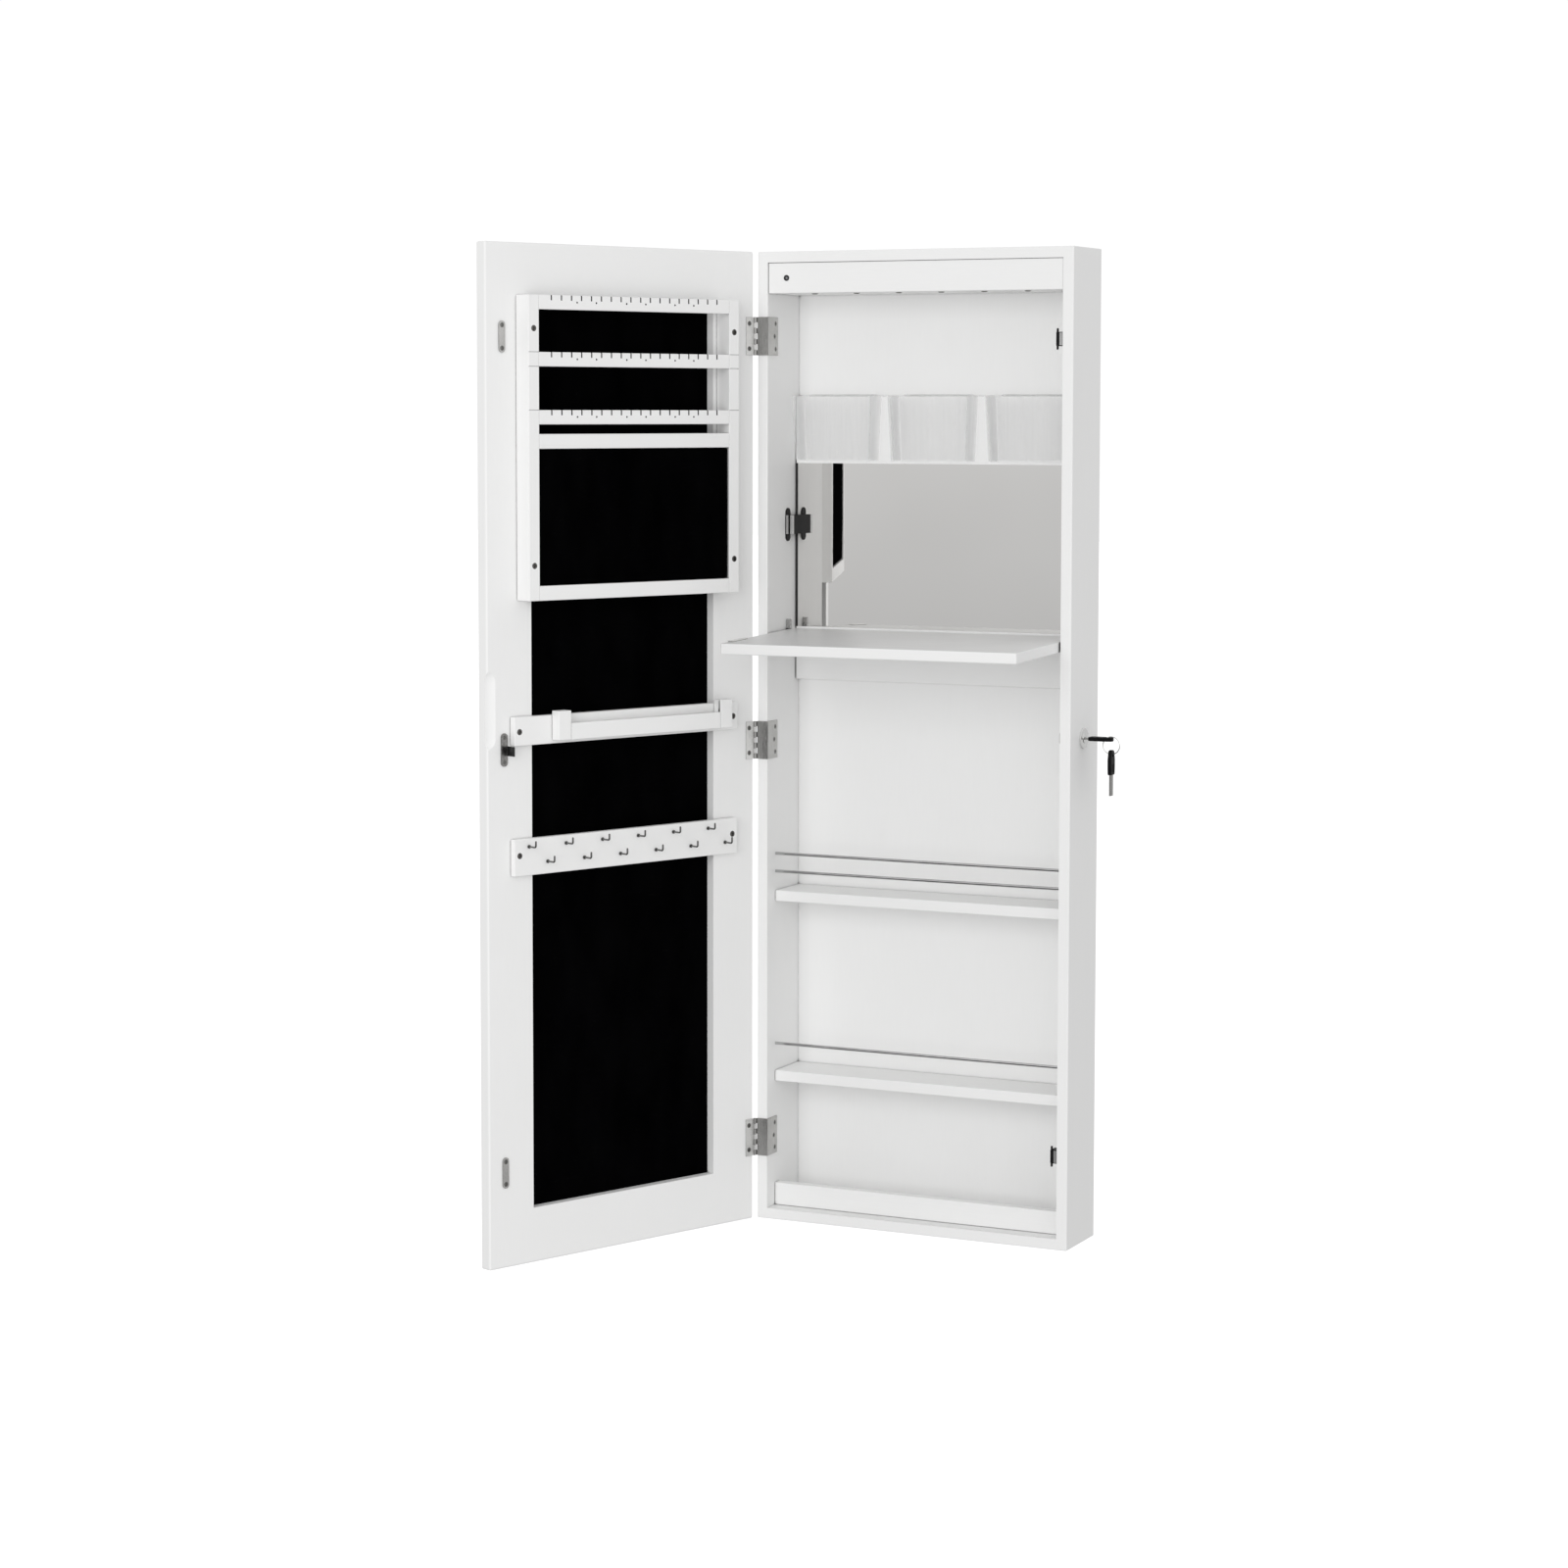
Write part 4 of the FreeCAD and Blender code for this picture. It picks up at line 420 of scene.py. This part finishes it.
NICKEL = (0.86, 0.855, 0.845)
SHADED_NICKEL = (0.52, 0.515, 0.505)
VELVET = velvet("black_velvet")
LOOKS = [
    (paint("white_paint_upright", "z"),
     "side_panel_left side_panel_right back_panel door_stile_hinge door_stile_free"),
    (paint("white_paint_across", "x"),
     "top_panel bottom_panel hanging_rail bottom_lip shelves led_fascia led_soffit door_rails "
     "pad_rails bracelet_board bracelet_cradle hook_board bracelet_bar"),
    # The clear boxes hang just before the board, so only its own corners give it painted shade.
    (paint("white_paint_board", "x", alone=True), "mirror_board"),
    (paint("white_paint_strip_shaded_cuts", "x", cuts=True), "earring_strips"),
    # painted shade lines where the earring strips lap over the sides
    (paint("white_paint_lap_shaded", "z", lap_shade_heights=lap_heights()), "organiser_sides"),
    # the tray's top face carries painted shade
    (paint("white_paint_tray_shaded_top", "x", gloss=0.08, shaded_top_tones=TRAY_TOP_SHADE_TONES), "tray_board"),
    (metal("satin_nickel", NICKEL, 0.22, "z", reach=0.0035, darkest_shade=0.02),
     "hinge_door_leaves wall_hangers tray_strike"),
    # painted shade: a darker copy of the satin nickel for the case leaves and door strikes
    (metal("nickel_shaded_copy", SHADED_NICKEL, 0.26, "z", reach=0.0035, darkest_shade=0.02),
     "hinge_case_leaves door_strikes"),
    # painted shade: the hinge screws' nickel is darkened so they read as dark rings
    (metal("screw_nickel_shaded", (0.22, 0.218, 0.21), 0.2, reach=0.0015), "case_screws door_screws"),
    (metal("pin_nickel", (0.10, 0.10, 0.098), 0.25), "hinge_pins tray_pins"),
    (metal("polished_rod", (0.60, 0.60, 0.60), 0.16, "x"), "necklace_rods"),
    (metal("bright_nickel", (0.93, 0.93, 0.92), 0.12), "key_ring lock_barrel lock_plug"),
    # painted reflection: the hooks' metal is darkened to stand in for the darker surroundings they
    # reflect
    (metal("hook_metal_shaded", (0.20, 0.20, 0.197), 0.2), "necklace_hooks"),
    (metal("cut_nickel", (0.42, 0.415, 0.405), 0.25, "z"), "key_blade spare_key_blade"),
    (metal("zinc", (0.5, 0.48, 0.44), 0.34), "lock_nut lock_cam"),
    (metal("pole_steel", (0.66, 0.66, 0.66), 0.26, "z"), "catch_magnets"),
    (metal("stop_steel", (0.55, 0.55, 0.545), 0.25), "tray_stops"),
    (metal("dark_nickel", (0.13, 0.125, 0.12), 0.28, reach=0.0015), "board_screws"),
    (lock_strike("lock_strike_finish"), "lock_strike"),
    (plastic("black_plastic", (0.0025, 0.0025, 0.003), 0.34, shine=0.12),
     "key_bow spare_key_bow magnetic_catches"),
    (plastic("white_plastic", (0.74, 0.74, 0.73), 0.35), "led_board battery_box battery_lid"),
    (plastic("cell_jacket", (0.55, 0.36, 0.06), 0.3), "batteries"),
    (VELVET, "velvet_board"),
    (mirror("makeup_glass", seam_shaded_node="makeup_mirror"), "makeup_mirror"),
    (mirror("door_glass"), "door_mirror"),
    (clear_plastic("clear_plastic"), "box_left box_middle box_right"),
    (lens("lamp_lens"), "led_lamps"),
    (sensor("sensor_finish"), "light_sensor"),
]
for material, names in LOOKS:
    for name in names.split():
        slots = frame["nodes"][name].data.materials
        for index in range(len(slots)):
            slots[index] = material

# ---------------------------------------------------------------- stud pad

PAD_STEP = 0.004
PAD_START = 0.0072
PAD_SWELL = 0.0016
PAD_HEM = 0.0003
PAD_RIM = 0.6 * PAD_STEP
PAD_BACK = 1e-5
PAD_PRESSURE = 4.0
PAD_FRAMES = 20
CROWN_SHARE = 0.55
CROWN_POWER = 0.35
DIMPLE_DEPTH = 0.00035
DIMPLE_SCALE = 38


def pad_form(low, high):
    """A closed slab of square cells between two corners, drawn in the shut door's frame."""
    wide = high.x - low.x
    tall = high.z - low.z
    across = round(wide / PAD_STEP)
    up = round(tall / PAD_STEP)
    form = bmesh.new()
    sheets = []
    for depth in (low.y, low.y + PAD_START):
        sheets.append([[form.verts.new((low.x + wide * i / across, depth, low.z + tall * k / up))
                        for k in range(up + 1)] for i in range(across + 1)])
    back, front = sheets
    for i in range(across):
        for k in range(up):
            form.faces.new((back[i][k], back[i + 1][k], back[i + 1][k + 1], back[i][k + 1]))
            form.faces.new((front[i][k], front[i][k + 1], front[i + 1][k + 1], front[i + 1][k]))
    ring = [(i, 0) for i in range(across)] + [(across, k) for k in range(up)]
    ring += [(i, up) for i in range(across, 0, -1)] + [(0, k) for k in range(up, 0, -1)]
    for (i, k), (m, n) in zip(ring, ring[1:] + ring[:1]):
        form.faces.new((back[i][k], front[i][k], front[m][n], back[m][n]))
    bmesh.ops.recalc_face_normals(form, faces=form.faces)
    return form


def plumped(cushion):
    """Where the cushion's vertices are after a cloth simulation under pressure."""
    cloth = cushion.modifiers.new("plump", "CLOTH")
    cloth.settings.quality = 6
    cloth.settings.mass = 0.3
    cloth.settings.tension_stiffness = 12
    cloth.settings.compression_stiffness = 12
    cloth.settings.bending_stiffness = 0.4
    cloth.settings.use_pressure = True
    cloth.settings.uniform_pressure_force = PAD_PRESSURE
    cloth.settings.vertex_group_mass = "held"
    cloth.settings.effector_weights.gravity = 0
    for step in range(1, PAD_FRAMES + 1):
        scene.frame_set(step)
    solved = cushion.evaluated_get(bpy.context.evaluated_depsgraph_get()).to_mesh()
    ends = [vertex.co.copy() for vertex in solved.vertices]
    cushion.modifiers.remove(cloth)
    scene.frame_set(1)
    return ends


def stud_pad():
    """The velvet pad between its rails, plumped by cloth pressure and held along its edges."""
    low, high = shut_box("stud_pad")
    low = low + Vector((PAD_HEM, 0, PAD_HEM))
    high = high - Vector((PAD_HEM, 0, PAD_HEM))
    mesh = bpy.data.meshes.new("stud_cushion")
    form = pad_form(low, high)
    form.to_mesh(mesh)
    form.free()
    cushion = bpy.data.objects.new("stud_cushion", mesh)
    scene.collection.objects.link(cushion)
    starts = [vertex.co.copy() for vertex in mesh.vertices]
    held = cushion.vertex_groups.new(name="held")
    for index, start in enumerate(starts):
        at_back = start.y < low.y + PAD_BACK
        to_rim = min(start.x - low.x, high.x - start.x, start.z - low.z, high.z - start.z)
        if at_back or to_rim < PAD_RIM:
            held.add([index], 1.0, "REPLACE")
    ends = plumped(cushion)
    width = high.x - low.x
    height = high.z - low.z
    for vertex, start, end in zip(mesh.vertices, starts, ends):
        moved = end - start
        if moved.length > PAD_SWELL:
            moved *= PAD_SWELL / moved.length
        place = start + moved
        if start.y > low.y + PAD_BACK:
            u = (start.x - low.x) / width
            v = (start.z - low.z) / height
            crown = (max(0.0, 16 * u * (1 - u) * v * (1 - v))) ** CROWN_POWER
            dimple = noise.noise(Vector((start.x * DIMPLE_SCALE, 0.4, start.z * DIMPLE_SCALE)))
            place.y += (high.y - low.y - PAD_START) * CROWN_SHARE * crown + DIMPLE_DEPTH * dimple * crown
        vertex.co = TO_OPEN @ place
    smooth = cushion.modifiers.new("smooth", "SUBSURF")
    smooth.levels = smooth.render_levels = 1
    mesh.materials.append(VELVET)
    mesh.shade_smooth()
    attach(cushion, "door")
    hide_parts("stud_pad")


stud_pad()

# ---------------------------------------------------------------- stage

FLOOR_HEIGHT = -0.95
FLOOR_HALF = 30.0
WHITE = (1, 1, 1, 1)
SEEN_WHITE = 1.02
FILL_LOW = 0.52
FILL_HIGH = 0.60
FILL_SIDE = 0.18
FILL_SPAN = (-0.8, 0.8)
SHINE_LOW = 0.10
SHINE_HIGH = 0.95
SHINE_RISE = (-0.45, 0.3)
SHINE_SIDE = 0.35
SHINE_TURN = (0.1, 0.9)

scene.view_settings.view_transform = "Standard"
scene.view_settings.look = "None"
scene.view_settings.exposure = 0.0


def ground():
    """A pale floor well below the hung case. It lights nothing and shows in no mirror."""
    made = Nodes("pale_floor")
    cloud = made.noise(0.8, detail=1.0)
    made.set(Base_Color=made.ramp(cloud, (0.9, 0.9, 0.9), (0.92, 0.92, 0.92)), Roughness=0.9,
             Specular_IOR_Level=0.0, Emission_Color=WHITE, Emission_Strength=0.5)
    mesh = bpy.data.meshes.new("floor")
    shape = bmesh.new()
    bmesh.ops.create_grid(shape, x_segments=8, y_segments=8, size=FLOOR_HALF)
    shape.to_mesh(mesh)
    shape.free()
    mesh.materials.append(made.material)
    floor = bpy.data.objects.new("floor", mesh)
    floor.location = (0, 0, FLOOR_HEIGHT)
    floor.visible_diffuse = False
    floor.visible_glossy = False
    scene.collection.objects.link(floor)


class Sky(Nodes):
    """The same builder, for the tree of a new world."""

    def __init__(self, name):
        world = bpy.data.worlds.new(name)
        scene.world = world
        world.use_nodes = True
        self.tree = world.node_tree
        self.shader = self.tree.nodes["Background"]
        parts = self.add("SeparateXYZ", Vector=self.coordinate("Generated"))
        self.towards = parts.outputs

    def rise(self, axis, low, high, span):
        """A value that rises smoothly along an axis of the sky."""
        node = self.add("MapRange", Value=self.towards[axis], From_Min=span[0], From_Max=span[1],
                        To_Min=low, To_Max=high)
        node.interpolation_type = "SMOOTHSTEP"
        return node.outputs["Result"]

    def either(self, fac, first, second):
        node = self.add("Mix")
        for index, value in ((0, fac), (2, first), (3, second)):
            self.feed(node.inputs[index], value)
        return node.outputs[0]


def studio_sky():
    """White to the eye. Its light is soft and even, and what shines back in metal is darker low down."""
    made = Sky("studio")
    fill = made.plus(made.rise("Z", FILL_LOW, FILL_HIGH, FILL_SPAN),
                     made.rise("X", 0.0, FILL_SIDE, FILL_SPAN))
    shine = made.plus(made.rise("Z", SHINE_LOW, SHINE_HIGH, SHINE_RISE),
                      made.rise("X", 0.0, SHINE_SIDE, SHINE_TURN))
    path = made.add("LightPath").outputs
    given = made.either(path["Is Glossy Ray"], fill, shine)
    made.set(Strength=made.either(path["Is Camera Ray"], given, SEEN_WHITE), Color=WHITE)


def softbox(name, at, aim, size, power):
    """A rectangular area light that doesn't show in mirrors."""
    light = bpy.data.lights.new(name, "AREA")
    light.shape = "RECTANGLE"
    light.size, light.size_y = size
    light.energy = power
    lamp = bpy.data.objects.new(name, light)
    lamp.location = at
    lamp.rotation_euler = (Vector(aim) - Vector(at)).to_track_quat("-Z", "Y").to_euler()
    lamp.visible_glossy = False
    scene.collection.objects.link(lamp)


ground()
studio_sky()
softbox("front", at=(0.2, -3.3, 0.5), aim=(0, 0, -0.1), size=(2.2, 2.2), power=35)
